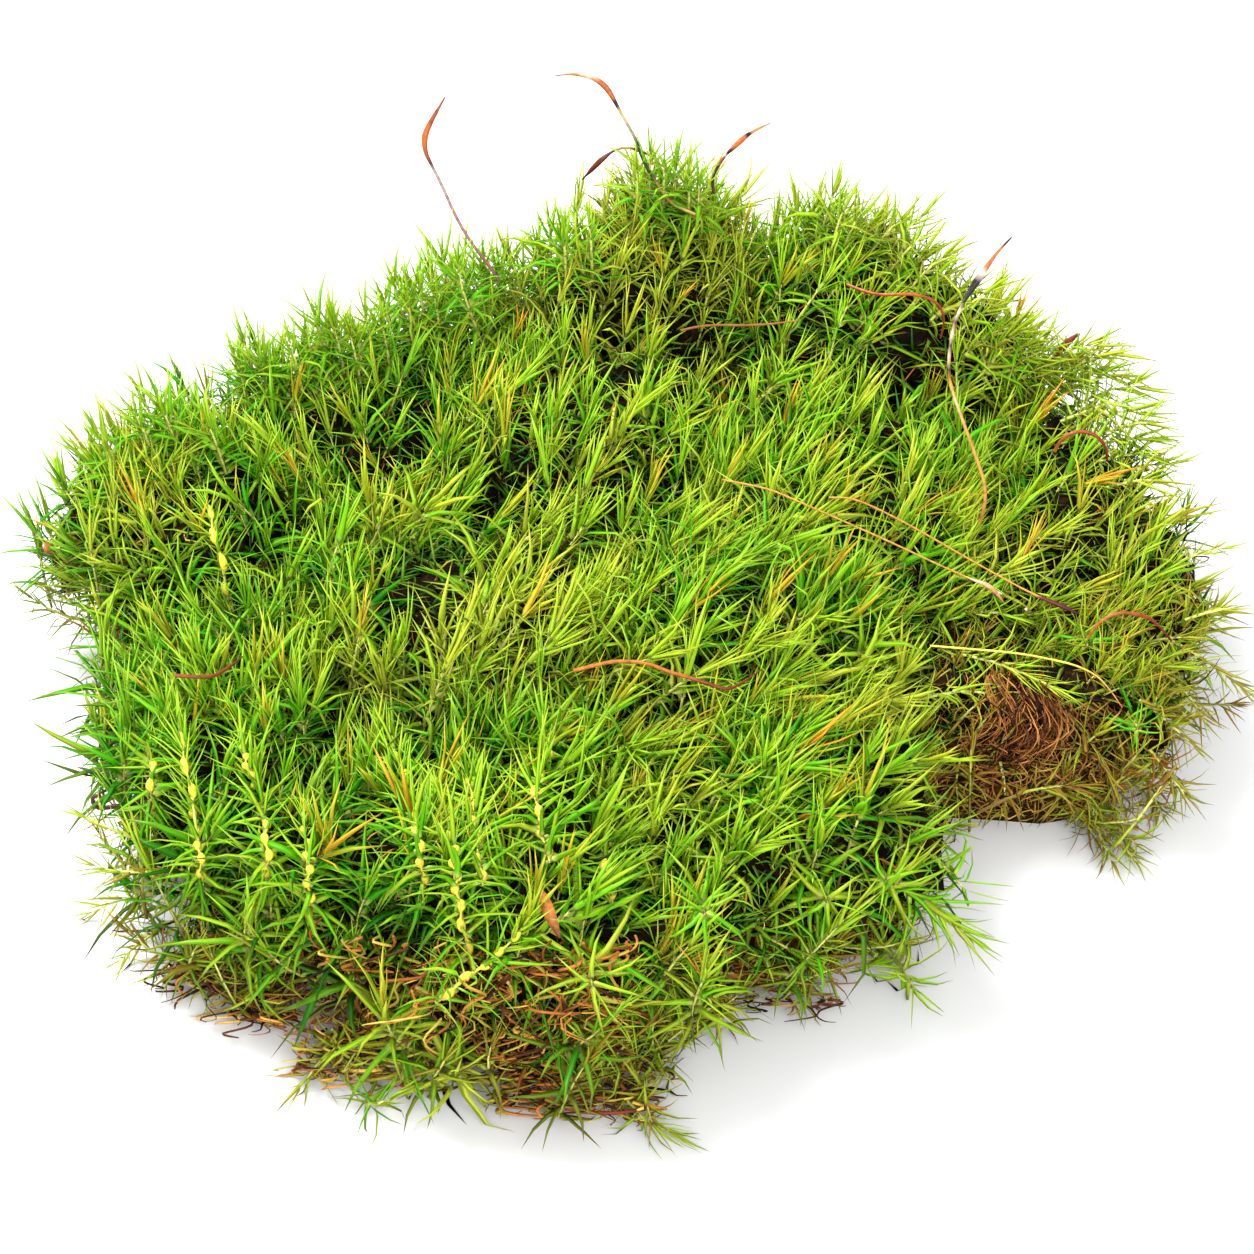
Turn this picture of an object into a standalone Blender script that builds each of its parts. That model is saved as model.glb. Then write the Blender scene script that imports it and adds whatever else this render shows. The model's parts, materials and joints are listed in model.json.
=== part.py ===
"""A loose clump of forest moss, lifted off the ground with its root mat and laid down flat.

The tables give places and sizes in millimetres: X to the right, Y away from the front edge and Z
up from the flat cut under the root mat. The shapes are made in metres, with the origin on the cut
below the middle of the clump.
"""

import math
from typing import NamedTuple

import bmesh
import bpy
import numpy as np
from mathutils import Vector
from mathutils.bvhtree import BVHTree

MM = 0.001
GAP = 0.3
SEED = 11
BOX_MIDDLE = (0.0, -4.4)

# Root mat: dead stems, rhizoid felt and soil, cut off flat underneath.
MAT_HEIGHT = 11.5
MAT_SEGMENTS = 60
MAT_LUMPS = 0.5
MAT_PROFILE = [(0.0, -0.6), (3.0, 0.3), (6.5, 0.4), (9.5, -0.8), (MAT_HEIGHT, -3.5)]
MAT_OUTLINE = [
    (72, 2), (68, 14), (61, 28), (50, 42), (38, 57), (22, 60), (6, 61), (-8, 55), (-22, 46),
    (-38, 36), (-54, 29), (-68, 20), (-70, 8), (-62, -10), (-57, -28), (-53, -42), (-42, -52),
    (-28, -60), (-14, -68), (-2, -67), (10, -57), (24, -51), (34, -45), (36, -30), (44, -23),
    (52, -24), (59, -25), (65, -19), (69, -8),
]

# Leaf tips seen from above, and how far the shoots stand out past the body of their tuft.
TIP_OUTLINE = [
    (83, 2), (78, 12), (74, 24), (67, 38), (56, 48), (48, 58), (39, 68), (24, 68), (10, 70),
    (-3, 70), (-13, 60), (-28, 54), (-42, 46), (-54, 41), (-65, 35), (-77, 28), (-82, 12),
    (-73, -2), (-66, -20), (-65, -38), (-60, -51), (-49, -61), (-34, -68), (-20, -79), (-8, -77),
    (6, -78), (13, -65), (24, -62), (35, -59), (44, -50), (43, -36), (44, -28), (54, -28),
    (63, -35), (71, -27), (78, -10),
]
TIP_REACH = 4.5
LOOP_STEPS = 4

# Tufts stand on the mat, and past its edge they overhang and droop towards the floor.
DECK = MAT_HEIGHT + GAP
DECK_EDGE = 1.5
LOWEST_ON_MAT = DECK + 0.8
FLOOR_CLEARANCE = 0.6
RIM_HEIGHT = 5.0
RIM_ON_MAT = DECK + 3.0
OVERHANG = (3.5, 6.0)
FREE_SIDE = 6.0
FREE_SIDE_DEPTH = 13.0
GULLY_SIDE_DEPTH = 3.0
FREE_TOP_SHARE = 0.55
GULLY_TOP_SHARE = 0.8
UNDERCUT = (0.1, 3.5, 6.0)

# Crest, gullies between the tufts, and the shoots with the valleys around them.
CREST_BLEND = 13.0
GULLY_DEPTH = 5.0
GULLY_WIDTH = 9.0
VALLEY_DEPTH = 1.4
JITTER = 0.7
SHOOT_LIFT = (0.7, -0.25)
SHOOT_OUTWARD = 0.6
SHOOT_LENGTHS = (0.75, 1.2)
VALLEY_DEPTHS = (0.6, 1.3)
STALK_FOOTHOLD = 0.8
FAR = 1000.0


class Tuft(NamedTuple):
    """A bundle of leafy shoots: its middle, the height of its crest and how its shoots lean."""

    name: str
    x: float
    y: float
    crest: float
    rings: int
    lean_x: float
    lean_y: float
    shoot: float = 6.5
    pull: float = 1.0
    look: str = "moss"


TUFTS = [
    Tuft("moss_tuft_back_hump", 3, 55, 43, 8, 0.05, 0.15),
    Tuft("moss_tuft_back_right", 33, 48, 38, 8, 0.25, 0.15),
    Tuft("moss_tuft_back_left", -34, 30, 34, 8, -0.10, 0.25),
    Tuft("moss_tuft_left", -60, 8, 31, 9, -0.25, 0.15),
    Tuft("moss_tuft_middle_ridge", -5, 19, 35, 9, 0.15, 0.30),
    Tuft("moss_tuft_right_field", 31, 12, 30, 9, 0.40, 0.15),
    Tuft("moss_tuft_right_edge", 62, 8, 24, 8, 0.30, 0.10),
    Tuft("moss_tuft_left_front", -51, -32, 28, 9, -0.05, 0.10),
    Tuft("moss_tuft_middle", -19, -16, 35, 9, 0.30, 0.30),
    Tuft("moss_tuft_middle_right", 16, -21, 32, 9, 0.45, 0.25),
    Tuft("moss_tuft_front", -19, -53, 28, 9, 0.10, 0.05),
    Tuft("moss_tuft_front_right", 22, -47, 24, 8, 0.30, 0.05, pull=0.8),
    Tuft("moss_tuft_right_front", 65, -18, 19, 7, 0.10, -0.05, 5.5, 0.8),
    Tuft("dead_tuft_right_front", 48, -18, 19, 4, 0.05, -0.10, 3.0, 0.45, "dead_moss"),
]

# Dark hollows between the tufts: x, y, depth and radius.
HOLLOWS = [
    (-17, 55, 9, 11),
    (-22, 1, 7, 8),
    (3, 6, 6, 7),
    (11, 40, 7, 9),
    (18, 33, 4, 7),
    (-34, -27, 5, 7),
    (-22, -35, 4, 6),
    (42, -8, 4, 7),
]


class Stalk(NamedTuple):
    """A thin stalk or a piece of litter: its route, its thickness and the swelling of its capsule."""

    name: str
    look: str
    route: list
    radius: float
    tip_radius: float
    capsule_radius: float = 0.0
    capsule: tuple = (0.0, 0.0)
    samples: int = 12


# Stalks that grow from a shoot tip near the first point of their route.
STANDING = [
    Stalk(
        "sporophyte_back_left", "seta",
        [(-17.4, 41.1, 38.4), (-18.3, 41.8, 39.9), (-20.7, 44, 42.2), (-23, 46.5, 45),
         (-25.2, 49, 49.2), (-27.3, 51, 53.3), (-27.2, 52, 55.4), (-26.1, 53, 57.4),
         (-24.5, 54, 59.9)],
        0.30, 0.12, 0.75, (0.70, 0.88), 15,
    ),
    Stalk(
        "sporophyte_back_tall", "seta",
        [(9.3, 46, 46), (6.1, 48.5, 46.3), (4.4, 50, 48.1), (2.3, 52, 50.8), (1.2, 54, 53.1),
         (-0.7, 56, 55.9), (-2.6, 57.5, 58.9), (-4.1, 58.3, 60), (-5.6, 59, 60.2),
         (-7.6, 59.6, 60.2), (-9.8, 60, 59.7)],
        0.30, 0.12, 0.70, (0.66, 0.84), 16,
    ),
    Stalk(
        "sporophyte_back_arched", "seta",
        [(3.6, 58, 48), (2.2, 57.6, 48.8), (0.6, 57.2, 49.8), (-1, 56.8, 50.1), (-2.4, 56.4, 49.6),
         (-3.7, 56.1, 48.6), (-4.9, 56, 47.3), (-6.2, 56, 45.7)],
        0.28, 0.14, 0.75, (0.55, 0.88), 12,
    ),
    Stalk(
        "sporophyte_back_short", "seta",
        [(11.9, 49.6, 47), (11.7, 51, 48.7), (12.6, 53, 49.7), (13.7, 55, 50.3), (15.4, 57, 51),
         (16.5, 58.5, 51.2), (18.1, 59.7, 51.6), (19.8, 61, 51.7)],
        0.30, 0.12, 0.70, (0.50, 0.76), 12,
    ),
    Stalk(
        "sporophyte_right", "seta",
        [(45.4, 2.3, 27.2), (46, 3.5, 30.8), (45.3, 7, 32.8), (43.4, 12, 36.3), (42.1, 17.5, 38.4),
         (42, 20.5, 40.3), (42.8, 24.5, 42.7), (44.1, 27, 44.8), (45.3, 28.5, 46.1),
         (46.7, 29.5, 48), (48.3, 30.3, 50.3), (50.2, 31, 52.4)],
        0.30, 0.12, 0.70, (0.76, 0.88), 17,
    ),
    Stalk(
        "bent_stalk_right_field", "seta",
        [(29.4, 35.5, 41.7), (32.1, 33, 42.2), (34.5, 31, 43.2), (36.8, 30.5, 43.7),
         (39.4, 30.3, 43.5), (41.3, 30.2, 42.2), (42.1, 30, 40.1), (41.8, 29.5, 37.5)],
        0.28, 0.18, samples=10,
    ),
    Stalk(
        "bent_stalk_right_edge", "seta",
        [(55.8, 13, 30.6), (56.8, 13, 33), (59.1, 13, 34.1), (60.9, 12.7, 33.6),
         (62.2, 12.4, 32.3), (62.6, 12, 30.2)],
        0.32, 0.22, samples=8,
    ),
    Stalk(
        "bent_stalk_right_front", "seta",
        [(57.4, -16.4, 23.5), (58.5, -16, 25.6), (60.5, -15.6, 27), (62.6, -15.3, 26.9),
         (64.6, -15, 26.2), (66.3, -14.8, 24.7), (68.3, -14.6, 22)],
        0.28, 0.18, samples=9,
    ),
    Stalk(
        "thin_stalk_back", "seta",
        [(7.1, 25.7, 40.9), (9.6, 26, 41.5), (12.5, 26.5, 41.5), (16, 27, 41.2), (19.5, 27.5, 41.2),
         (22.8, 28, 41.4)],
        0.22, 0.14, samples=7,
    ),
]

# Stalks and litter that lie across the shoot tips; only their plan is given.
LYING = [
    Stalk("fallen_stalk_long", "seta",
          [(11.8, -3.5), (21.6, -4.5), (31.8, -5.6), (40.1, -6.8), (47.9, -7.6)],
          0.28, 0.16, 0.75, (0.86, 0.97), 14),
    Stalk("fallen_stalk_short", "seta",
          [(25.5, -1.2), (34.9, -4.4), (44.8, -8.8), (51.1, -11.3), (56.8, -12.5)],
          0.28, 0.16, 0.80, (0.84, 0.96), 14),
    Stalk("straw_right", "straw",
          [(37.7, -17.5), (44.5, -18.2), (49.9, -19), (57, -21.8), (60.4, -28)],
          0.32, 0.20, samples=10),
    Stalk("needle_middle", "litter",
          [(-6.3, -36), (-0.8, -34.8), (4.4, -36.3), (8.5, -37), (12, -37.5), (16, -32.4)],
          0.45, 0.20, samples=12),
    Stalk("needle_left", "litter",
          [(-52.8, -37.4), (-48.9, -36.4), (-47.1, -33.9), (-45.8, -30.5)],
          0.45, 0.20, samples=8),
]
STALK_SIDES = 5
LYING_LIFT = 0.9
STIFFNESS = 0.7
DROP_HEIGHT = 90.0

# Colours as they look in daylight, with roughness.
LOOKS = {
    "moss": ("#7FA32B", 0.55),
    "dead_moss": ("#7A5530", 0.85),
    "root_mat": ("#5B3B22", 0.90),
    "seta": ("#A4562A", 0.40),
    "straw": ("#C9A94F", 0.50),
    "litter": ("#7B3F24", 0.60),
}

LATTICE_CORNERS = [(1, 0), (0, 1), (-1, 1), (-1, 0), (0, -1), (1, -1)]


def clear_scene():
    """Remove whatever the file holds."""
    for thing in list(bpy.data.objects):
        bpy.data.objects.remove(thing)


def daylight_colour(hex_colour):
    """Turn a hex colour into linear red, green, blue and alpha."""
    parts = [int(hex_colour[i:i + 2], 16) / 255 for i in (1, 3, 5)]
    linear = [c / 12.92 if c <= 0.04045 else ((c + 0.055) / 1.055) ** 2.4 for c in parts]
    return (*linear, 1.0)


def plain_material(name):
    """Make the plain material of one look."""
    colour, roughness = LOOKS[name]
    material = bpy.data.materials.new(name)
    material.use_nodes = True
    shader = material.node_tree.nodes["Principled BSDF"]
    shader.inputs["Base Color"].default_value = daylight_colour(colour)
    shader.inputs["Roughness"].default_value = roughness
    shader.inputs["Metallic"].default_value = 0.0
    return material


def to_metres(x, y, z):
    """Turn a place in the tables into a point of the finished part."""
    return Vector((x - BOX_MIDDLE[0], y - BOX_MIDDLE[1], z)) * MM


def add_object(name, shape, look):
    """Make a named object from a bmesh and give it its material."""
    mesh = bpy.data.meshes.new(name)
    shape.to_mesh(mesh)
    shape.free()
    mesh.materials.append(plain_material(look) if look not in bpy.data.materials
                          else bpy.data.materials[look])
    thing = bpy.data.objects.new(name, mesh)
    bpy.context.scene.collection.objects.link(thing)
    return thing


def curve_point(a, b, c, d, t):
    """Give the point at t between b and c of a smooth curve through four points."""
    return 0.5 * (2 * b + (c - a) * t + (2 * a - 5 * b + 4 * c - d) * t * t
                  + (3 * b - a - 3 * c + d) * t ** 3)


def smooth_loop(points, steps):
    """Round a closed outline off."""
    corners = [np.array(p, dtype=float) for p in points]
    count = len(corners)
    return [
        curve_point(corners[i - 1], corners[i], corners[(i + 1) % count], corners[(i + 2) % count],
                    step / steps)
        for i in range(count)
        for step in range(steps)
    ]


def smooth_route(points, samples):
    """Sample a smooth open curve through the points at even steps of its length."""
    corners = [np.array(p, dtype=float) for p in points]
    padded = [2 * corners[0] - corners[1], *corners, 2 * corners[-1] - corners[-2]]
    fine = [
        curve_point(*padded[i:i + 4], step / 12)
        for i in range(len(corners) - 1)
        for step in range(12)
    ]
    fine.append(corners[-1])
    run = np.concatenate([[0.0], np.cumsum([np.linalg.norm(b - a) for a, b in zip(fine, fine[1:])])])
    wanted = np.linspace(0.0, run[-1], samples)
    table = np.array(fine)
    return [np.array([np.interp(s, run, table[:, axis]) for axis in range(table.shape[1])])
            for s in wanted]


def distance_to_loop(loop, x, y, angle):
    """Measure from a point inside a loop to where a ray at the angle first leaves it."""
    along = np.array([math.cos(angle), math.sin(angle)])
    start = np.array(loop) - (x, y)
    side = np.roll(start, -1, axis=0) - start
    cross = along[0] * side[:, 1] - along[1] * side[:, 0]
    cross = np.where(np.abs(cross) < 1e-9, 1e-9, cross)
    distance = (start[:, 0] * side[:, 1] - start[:, 1] * side[:, 0]) / cross
    share = (start[:, 0] * along[1] - start[:, 1] * along[0]) / cross
    met = (distance > 0) & (share >= -1e-6) & (share <= 1 + 1e-6)
    return float(np.min(distance[met]))


def smoothstep(low, high, value):
    """Rise smoothly from 0 at low to 1 at high."""
    t = min(max((value - low) / (high - low), 0.0), 1.0)
    return t * t * (3 - 2 * t)


def mix(a, b, share):
    """Blend two values."""
    return a + (b - a) * share


TIP_LOOP = smooth_loop(TIP_OUTLINE, LOOP_STEPS)
MAT_LOOP = smooth_loop(MAT_OUTLINE, LOOP_STEPS)


def dividing_walls(tuft):
    """List the upright planes that part a tuft from the others: a direction and a distance."""
    walls = []
    for other in TUFTS:
        if other is tuft:
            continue
        span = math.hypot(other.x - tuft.x, other.y - tuft.y)
        limit = span * tuft.pull / (tuft.pull + other.pull) - GAP / 2
        walls.append(((other.x - tuft.x) / span, (other.y - tuft.y) / span, limit))
    return walls


def distance_to_walls(walls, angle):
    """Measure from a tuft's middle to the nearest plane along an angle."""
    slopes = [(nx * math.cos(angle) + ny * math.sin(angle), limit) for nx, ny, limit in walls]
    return min((limit / slope for slope, limit in slopes if slope > 0.01), default=FAR)


def cushion_height(x, y):
    """Blend the crests of the tufts into one rolling surface and press the hollows into it."""
    weights = [math.exp(-((x - t.x) ** 2 + (y - t.y) ** 2) / (2 * CREST_BLEND ** 2)) for t in TUFTS]
    height = sum(w * t.crest for w, t in zip(weights, TUFTS)) / sum(weights)
    for hx, hy, depth, radius in HOLLOWS:
        height -= depth * math.exp(-((x - hx) ** 2 + (y - hy) ** 2) / radius ** 2)
    return height


def gully_depth(tuft, walls, x, y):
    """Tell how far the surface sinks towards the planes that part the tufts."""
    nearest = min(limit - nx * (x - tuft.x) - ny * (y - tuft.y) for nx, ny, limit in walls)
    return GULLY_DEPTH * max(0.0, 1 - nearest / GULLY_WIDTH) ** 2


class Meridian(NamedTuple):
    """One direction out of a tuft's middle, with how the tuft ends there."""

    angle: float
    reach: float
    mat: float
    outer: float
    overhang: float


def meridian(tuft, walls, angle):
    """Work out how far a tuft goes at an angle and whether it ends free or at a neighbour."""
    wall = distance_to_walls(walls, angle)
    free = distance_to_loop(TIP_LOOP, tuft.x, tuft.y, angle) - TIP_REACH
    mat = distance_to_loop(MAT_LOOP, tuft.x, tuft.y, angle)
    reach = min(wall, free)
    outer = smoothstep(0.0, FREE_SIDE, wall - free)
    return Meridian(angle, reach, mat, outer, smoothstep(*OVERHANG, reach - mat))


def body_point(tuft, walls, line, travel):
    """Place a point of the tuft's body: travel 0 is its middle and 1 its rim."""
    depth = mix(GULLY_SIDE_DEPTH, min(FREE_SIDE_DEPTH, 0.6 * line.reach), line.outer)
    top_share = mix(GULLY_TOP_SHARE, FREE_TOP_SHARE, line.outer)
    inner = line.reach - depth
    rim = mix(RIM_ON_MAT, RIM_HEIGHT, line.outer * line.overhang)
    if travel < top_share:
        run = inner * travel / top_share
        drop = 1.0
    else:
        turn = (travel - top_share) / (1 - top_share) * math.pi / 2
        run = inner + depth * math.sin(turn)
        drop = math.cos(turn)
    x = tuft.x + run * math.cos(line.angle)
    y = tuft.y + run * math.sin(line.angle)
    crest = cushion_height(x, y) - gully_depth(tuft, walls, x, y)
    return Vector((x, y, rim + (crest - rim) * drop))


def keep_inside(tuft, walls, point):
    """Hold a point inside its tuft's planes, above the mat, and off the floor past the mat."""
    dx, dy = point.x - tuft.x, point.y - tuft.y
    scale = min([1.0] + [limit / (nx * dx + ny * dy) for nx, ny, limit in walls
                         if nx * dx + ny * dy > limit])
    dx, dy = dx * scale, dy * scale
    edge = distance_to_loop(MAT_LOOP, tuft.x, tuft.y, math.atan2(dy, dx)) + DECK_EDGE
    lowest = FLOOR_CLEARANCE if math.hypot(dx, dy) > edge else LOWEST_ON_MAT
    return Vector((tuft.x + dx, tuft.y + dy, max(point.z, lowest)))


def lattice_index(ring, step):
    """Number the points of a hexagonal lattice from the middle outwards."""
    return 0 if ring == 0 else 1 + 3 * ring * (ring - 1) + step % (6 * ring)


def lattice_points(rings):
    """List a ring, a turn and whether a shoot stands there, for every point of the lattice."""
    points = [(0, 0.0, True)]
    for ring in range(1, rings + 1):
        for step in range(6 * ring):
            side, along = divmod(step, ring)
            q0, r0 = LATTICE_CORNERS[side]
            q1, r1 = LATTICE_CORNERS[(side + 1) % 6]
            q = (ring - along) * q0 + along * q1
            r = (ring - along) * r0 + along * r1
            points.append((ring, step / (6 * ring), (q - r) % 3 == 0))
    return points


def lattice_triangles(rings):
    """List the triangles between neighbouring rings of the lattice, facing up."""
    triangles = []
    for ring in range(1, rings + 1):
        for side in range(6):
            for along in range(ring):
                a = lattice_index(ring, side * ring + along)
                b = lattice_index(ring, side * ring + along + 1)
                c = lattice_index(ring - 1, side * (ring - 1) + along)
                triangles.append((a, b, c))
                if along < ring - 1:
                    d = lattice_index(ring - 1, side * (ring - 1) + along + 1)
                    triangles.append((b, d, c))
    return triangles


def shoot_offset(tuft, normal, drop, rng):
    """Say how far a shoot stands out: along the surface's normal, up, and with the tuft's lean."""
    lean = Vector((tuft.lean_x, tuft.lean_y, 0.0)) * (1 - drop)
    lift = Vector((0.0, 0.0, mix(*SHOOT_LIFT, drop)))
    way = (normal * SHOOT_OUTWARD + lift + lean).normalized()
    return way * tuft.shoot * rng.uniform(*SHOOT_LENGTHS)


def add_tuft(tuft, rng):
    """Build one tuft as a closed cushion of pointed shoots and return it with its shoot tips."""
    walls = dividing_walls(tuft)
    shape = bmesh.new()
    lines = {}
    points = lattice_points(tuft.rings)
    for ring, turn, _ in points:
        if turn not in lines:
            lines[turn] = meridian(tuft, walls, 2 * math.pi * turn)
        spot = body_point(tuft, walls, lines[turn], ring / tuft.rings)
        if ring < tuft.rings:
            spot += Vector(rng.uniform(-JITTER, JITTER, 3))
        shape.verts.new(spot)
    shape.verts.ensure_lookup_table()
    for triangle in lattice_triangles(tuft.rings):
        shape.faces.new([shape.verts[i] for i in triangle])
    shape.normal_update()
    tips = []
    moved = []
    for vertex, (ring, turn, is_tip) in zip(shape.verts, points):
        drop = lines[turn].outer * smoothstep(0.5, 1.0, ring / tuft.rings)
        if is_tip:
            offset = shoot_offset(tuft, vertex.normal, drop, rng)
        else:
            offset = -vertex.normal * VALLEY_DEPTH * rng.uniform(*VALLEY_DEPTHS)
        moved.append(keep_inside(tuft, walls, vertex.co + offset))
        if is_tip and drop < STALK_FOOTHOLD:
            tips.append(moved[-1])
    for vertex, spot in zip(shape.verts, moved):
        vertex.co = spot
    add_underside(shape, tuft, lines)
    for vertex in shape.verts:
        vertex.co = to_metres(*vertex.co)
    return add_object(tuft.name, shape, tuft.look), tips


def add_underside(shape, tuft, lines):
    """Close a tuft with a flat face just above the mat, drawn in under its free rim."""
    count = 6 * tuft.rings
    first = lattice_index(tuft.rings, 0)
    at_gully, at_free_side, most = UNDERCUT
    rim = [shape.verts[first + step] for step in range(count)]
    under = []
    for step in range(count):
        line = lines[step / count]
        run = line.reach - mix(at_gully, at_free_side, line.outer)
        if line.outer > 0:
            run = min(run, max(line.mat + DECK_EDGE, line.reach - most))
        x = tuft.x + run * math.cos(line.angle)
        y = tuft.y + run * math.sin(line.angle)
        under.append(shape.verts.new((x, y, DECK)))
    for step in range(count):
        after = (step + 1) % count
        shape.faces.new((rim[after], rim[step], under[step], under[after]))
    shape.faces.new(list(reversed(under)))


def add_root_mat(rng):
    """Build the mat as stacked uneven outlines with a flat top and a flat cut underneath."""
    shape = bmesh.new()
    rows = []
    for height, out in MAT_PROFILE:
        row = []
        rough = 0.0 if height in (0.0, MAT_HEIGHT) else MAT_LUMPS
        for step in range(MAT_SEGMENTS):
            angle = 2 * math.pi * step / MAT_SEGMENTS
            run = distance_to_loop(MAT_LOOP, 0.0, 0.0, angle) + out + rng.uniform(-rough, rough)
            spot = to_metres(run * math.cos(angle), run * math.sin(angle), height)
            row.append(shape.verts.new(spot))
        rows.append(row)
    for low, high in zip(rows, rows[1:]):
        for step in range(MAT_SEGMENTS):
            after = (step + 1) % MAT_SEGMENTS
            shape.faces.new((low[step], low[after], high[after], high[step]))
    shape.faces.new(list(reversed(rows[0])))
    shape.faces.new(rows[-1])
    return add_object("root_mat", shape, "root_mat")


def stalk_radius(stalk, share):
    """Give the radius at a share of the length: stalk, swollen capsule, then a thin beak."""
    start, end = stalk.capsule
    if stalk.capsule_radius and start < share < end:
        swell = math.sin(math.pi * (share - start) / (end - start)) ** 0.7
        return mix(stalk.radius, stalk.capsule_radius, swell)
    thin_from = end if stalk.capsule_radius else 0.6
    return mix(stalk.radius, stalk.tip_radius, smoothstep(thin_from, 1.0, share))


def add_stalk(stalk, points):
    """Sweep the stalk's round section along its points and close both ends."""
    shape = bmesh.new()
    places = [to_metres(*p) for p in points]
    sideways = Vector((1.0, 0.3, 0.1))
    rows = []
    for i, place in enumerate(places):
        ahead = (places[min(i + 1, len(places) - 1)] - places[max(i - 1, 0)]).normalized()
        sideways = (sideways - ahead * sideways.dot(ahead)).normalized()
        upward = ahead.cross(sideways)
        radius = stalk_radius(stalk, i / (len(places) - 1)) * MM
        row = []
        for side in range(STALK_SIDES):
            turn = 2 * math.pi * side / STALK_SIDES
            row.append(shape.verts.new(place + (sideways * math.cos(turn) + upward * math.sin(turn))
                                       * radius))
        rows.append(row)
    for low, high in zip(rows, rows[1:]):
        for side in range(STALK_SIDES):
            after = (side + 1) % STALK_SIDES
            shape.faces.new((low[side], low[after], high[after], high[side]))
    shape.faces.new(list(reversed(rows[0])))
    shape.faces.new(rows[-1])
    for face in shape.faces:
        face.smooth = True
    return add_object(stalk.name, shape, stalk.look)


def grow_from_tip(stalk, tips):
    """Move the foot of a route onto the nearest shoot tip and ease the rest of it along."""
    foot = Vector(stalk.route[0])
    tip = min(tips, key=lambda t: (t - foot).length)
    shift = np.array(tip + Vector((0.0, 0.0, GAP + 0.1)) - foot)
    last = len(stalk.route) - 1
    route = [np.array(p, dtype=float) + shift * (1 - i / last) ** 2 for i, p in enumerate(stalk.route)]
    return smooth_route(route, stalk.samples)


def surface_height(tree, x, y, width):
    """Find the highest moss under a strip of the given width."""
    best = 0.0
    for side in (-width, 0.0, width):
        for shift in (-width, 0.0, width):
            hit = tree.ray_cast(to_metres(x + side, y + shift, DROP_HEIGHT), Vector((0, 0, -1)))
            if hit[0] is not None:
                best = max(best, hit[0].z / MM)
    return best


def lie_on_tips(stalk, tree):
    """Lay a stiff stalk across the shoots: it rests on the two tips that its middle lies between."""
    plan = smooth_route(stalk.route, 40)
    thick = max(stalk.radius, stalk.capsule_radius)
    heights = [surface_height(tree, x, y, thick + GAP) for x, y in plan]
    rest = [0]
    for i in range(1, len(plan)):
        while len(rest) > 1:
            a, b = rest[-2], rest[-1]
            if (heights[b] - heights[a]) * (i - a) > (heights[i] - heights[a]) * (b - a):
                break
            rest.pop()
        rest.append(i)
    low, high = next((a, b) for a, b in zip(rest, rest[1:]) if 2 * b >= len(plan))
    slope = (heights[high] - heights[low]) / (high - low)
    laid = []
    for i, slack in enumerate(np.interp(range(len(plan)), rest, [heights[i] for i in rest])):
        straight = heights[low] + slope * (i - low)
        laid.append(mix(slack, straight, STIFFNESS) + thick + LYING_LIFT)
    return smooth_route([(x, y, z) for (x, y), z in zip(plan, laid)], stalk.samples)


def joined_tree(objects):
    """Make one search tree of several objects' faces."""
    corners = []
    faces = []
    for thing in objects:
        start = len(corners)
        corners.extend(v.co.copy() for v in thing.data.vertices)
        faces.extend([start + i for i in p.vertices] for p in thing.data.polygons)
    return BVHTree.FromPolygons(corners, faces)


def build():
    """Build the whole clump."""
    clear_scene()
    rng = np.random.default_rng(SEED)
    add_root_mat(rng)
    placed = []
    tips = []
    for tuft in TUFTS:
        cushion, its_tips = add_tuft(tuft, rng)
        placed.append(cushion)
        tips.extend(its_tips)
    for stalk in STANDING:
        add_stalk(stalk, grow_from_tip(stalk, tips))
    for stalk in LYING:
        placed.append(add_stalk(stalk, lie_on_tips(stalk, joined_tree(placed))))


build()
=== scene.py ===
"""Dresses the moss clump: leafy shoots on every tuft, felted stems, capsules, fallen stalks and litter.

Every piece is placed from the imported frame. Shoots stand where the frame has its pointed tips, and
stalks follow the middle lines of the frame's stalks. Lengths are in millimetres until a mesh is made.
"""

import json
import logging
import math
from collections.abc import Callable
from dataclasses import dataclass, field
from enum import Enum
from functools import partial

import bmesh
import bpy
import numpy as np
from bmesh.types import BMesh
from bpy.types import ID, Collection, Material, Node, NodeOutputs, NodeSocket, NodeTree, Object
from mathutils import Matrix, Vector, noise
from mathutils.bvhtree import BVHTree

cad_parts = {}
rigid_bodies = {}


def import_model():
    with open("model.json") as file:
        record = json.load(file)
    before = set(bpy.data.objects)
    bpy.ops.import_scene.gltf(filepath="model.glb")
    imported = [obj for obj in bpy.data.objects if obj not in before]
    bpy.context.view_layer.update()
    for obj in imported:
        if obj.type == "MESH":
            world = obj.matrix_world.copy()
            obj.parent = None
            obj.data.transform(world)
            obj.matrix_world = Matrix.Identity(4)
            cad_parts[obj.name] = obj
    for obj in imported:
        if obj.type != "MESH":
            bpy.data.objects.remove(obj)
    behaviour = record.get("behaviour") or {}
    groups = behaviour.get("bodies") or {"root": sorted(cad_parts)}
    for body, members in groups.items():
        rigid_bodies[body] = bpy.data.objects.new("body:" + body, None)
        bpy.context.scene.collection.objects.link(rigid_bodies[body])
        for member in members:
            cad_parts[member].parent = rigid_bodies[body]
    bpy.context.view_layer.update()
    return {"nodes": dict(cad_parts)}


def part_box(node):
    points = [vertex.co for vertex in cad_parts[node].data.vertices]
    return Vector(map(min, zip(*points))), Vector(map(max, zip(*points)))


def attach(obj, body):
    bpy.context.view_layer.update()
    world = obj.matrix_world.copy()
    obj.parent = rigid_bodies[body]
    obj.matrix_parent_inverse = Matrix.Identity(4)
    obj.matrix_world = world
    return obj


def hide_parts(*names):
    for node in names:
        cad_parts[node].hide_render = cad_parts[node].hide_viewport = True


MM = 0.001
BAKE_MAP = "OFBake"
ROOT = "root"
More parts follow.
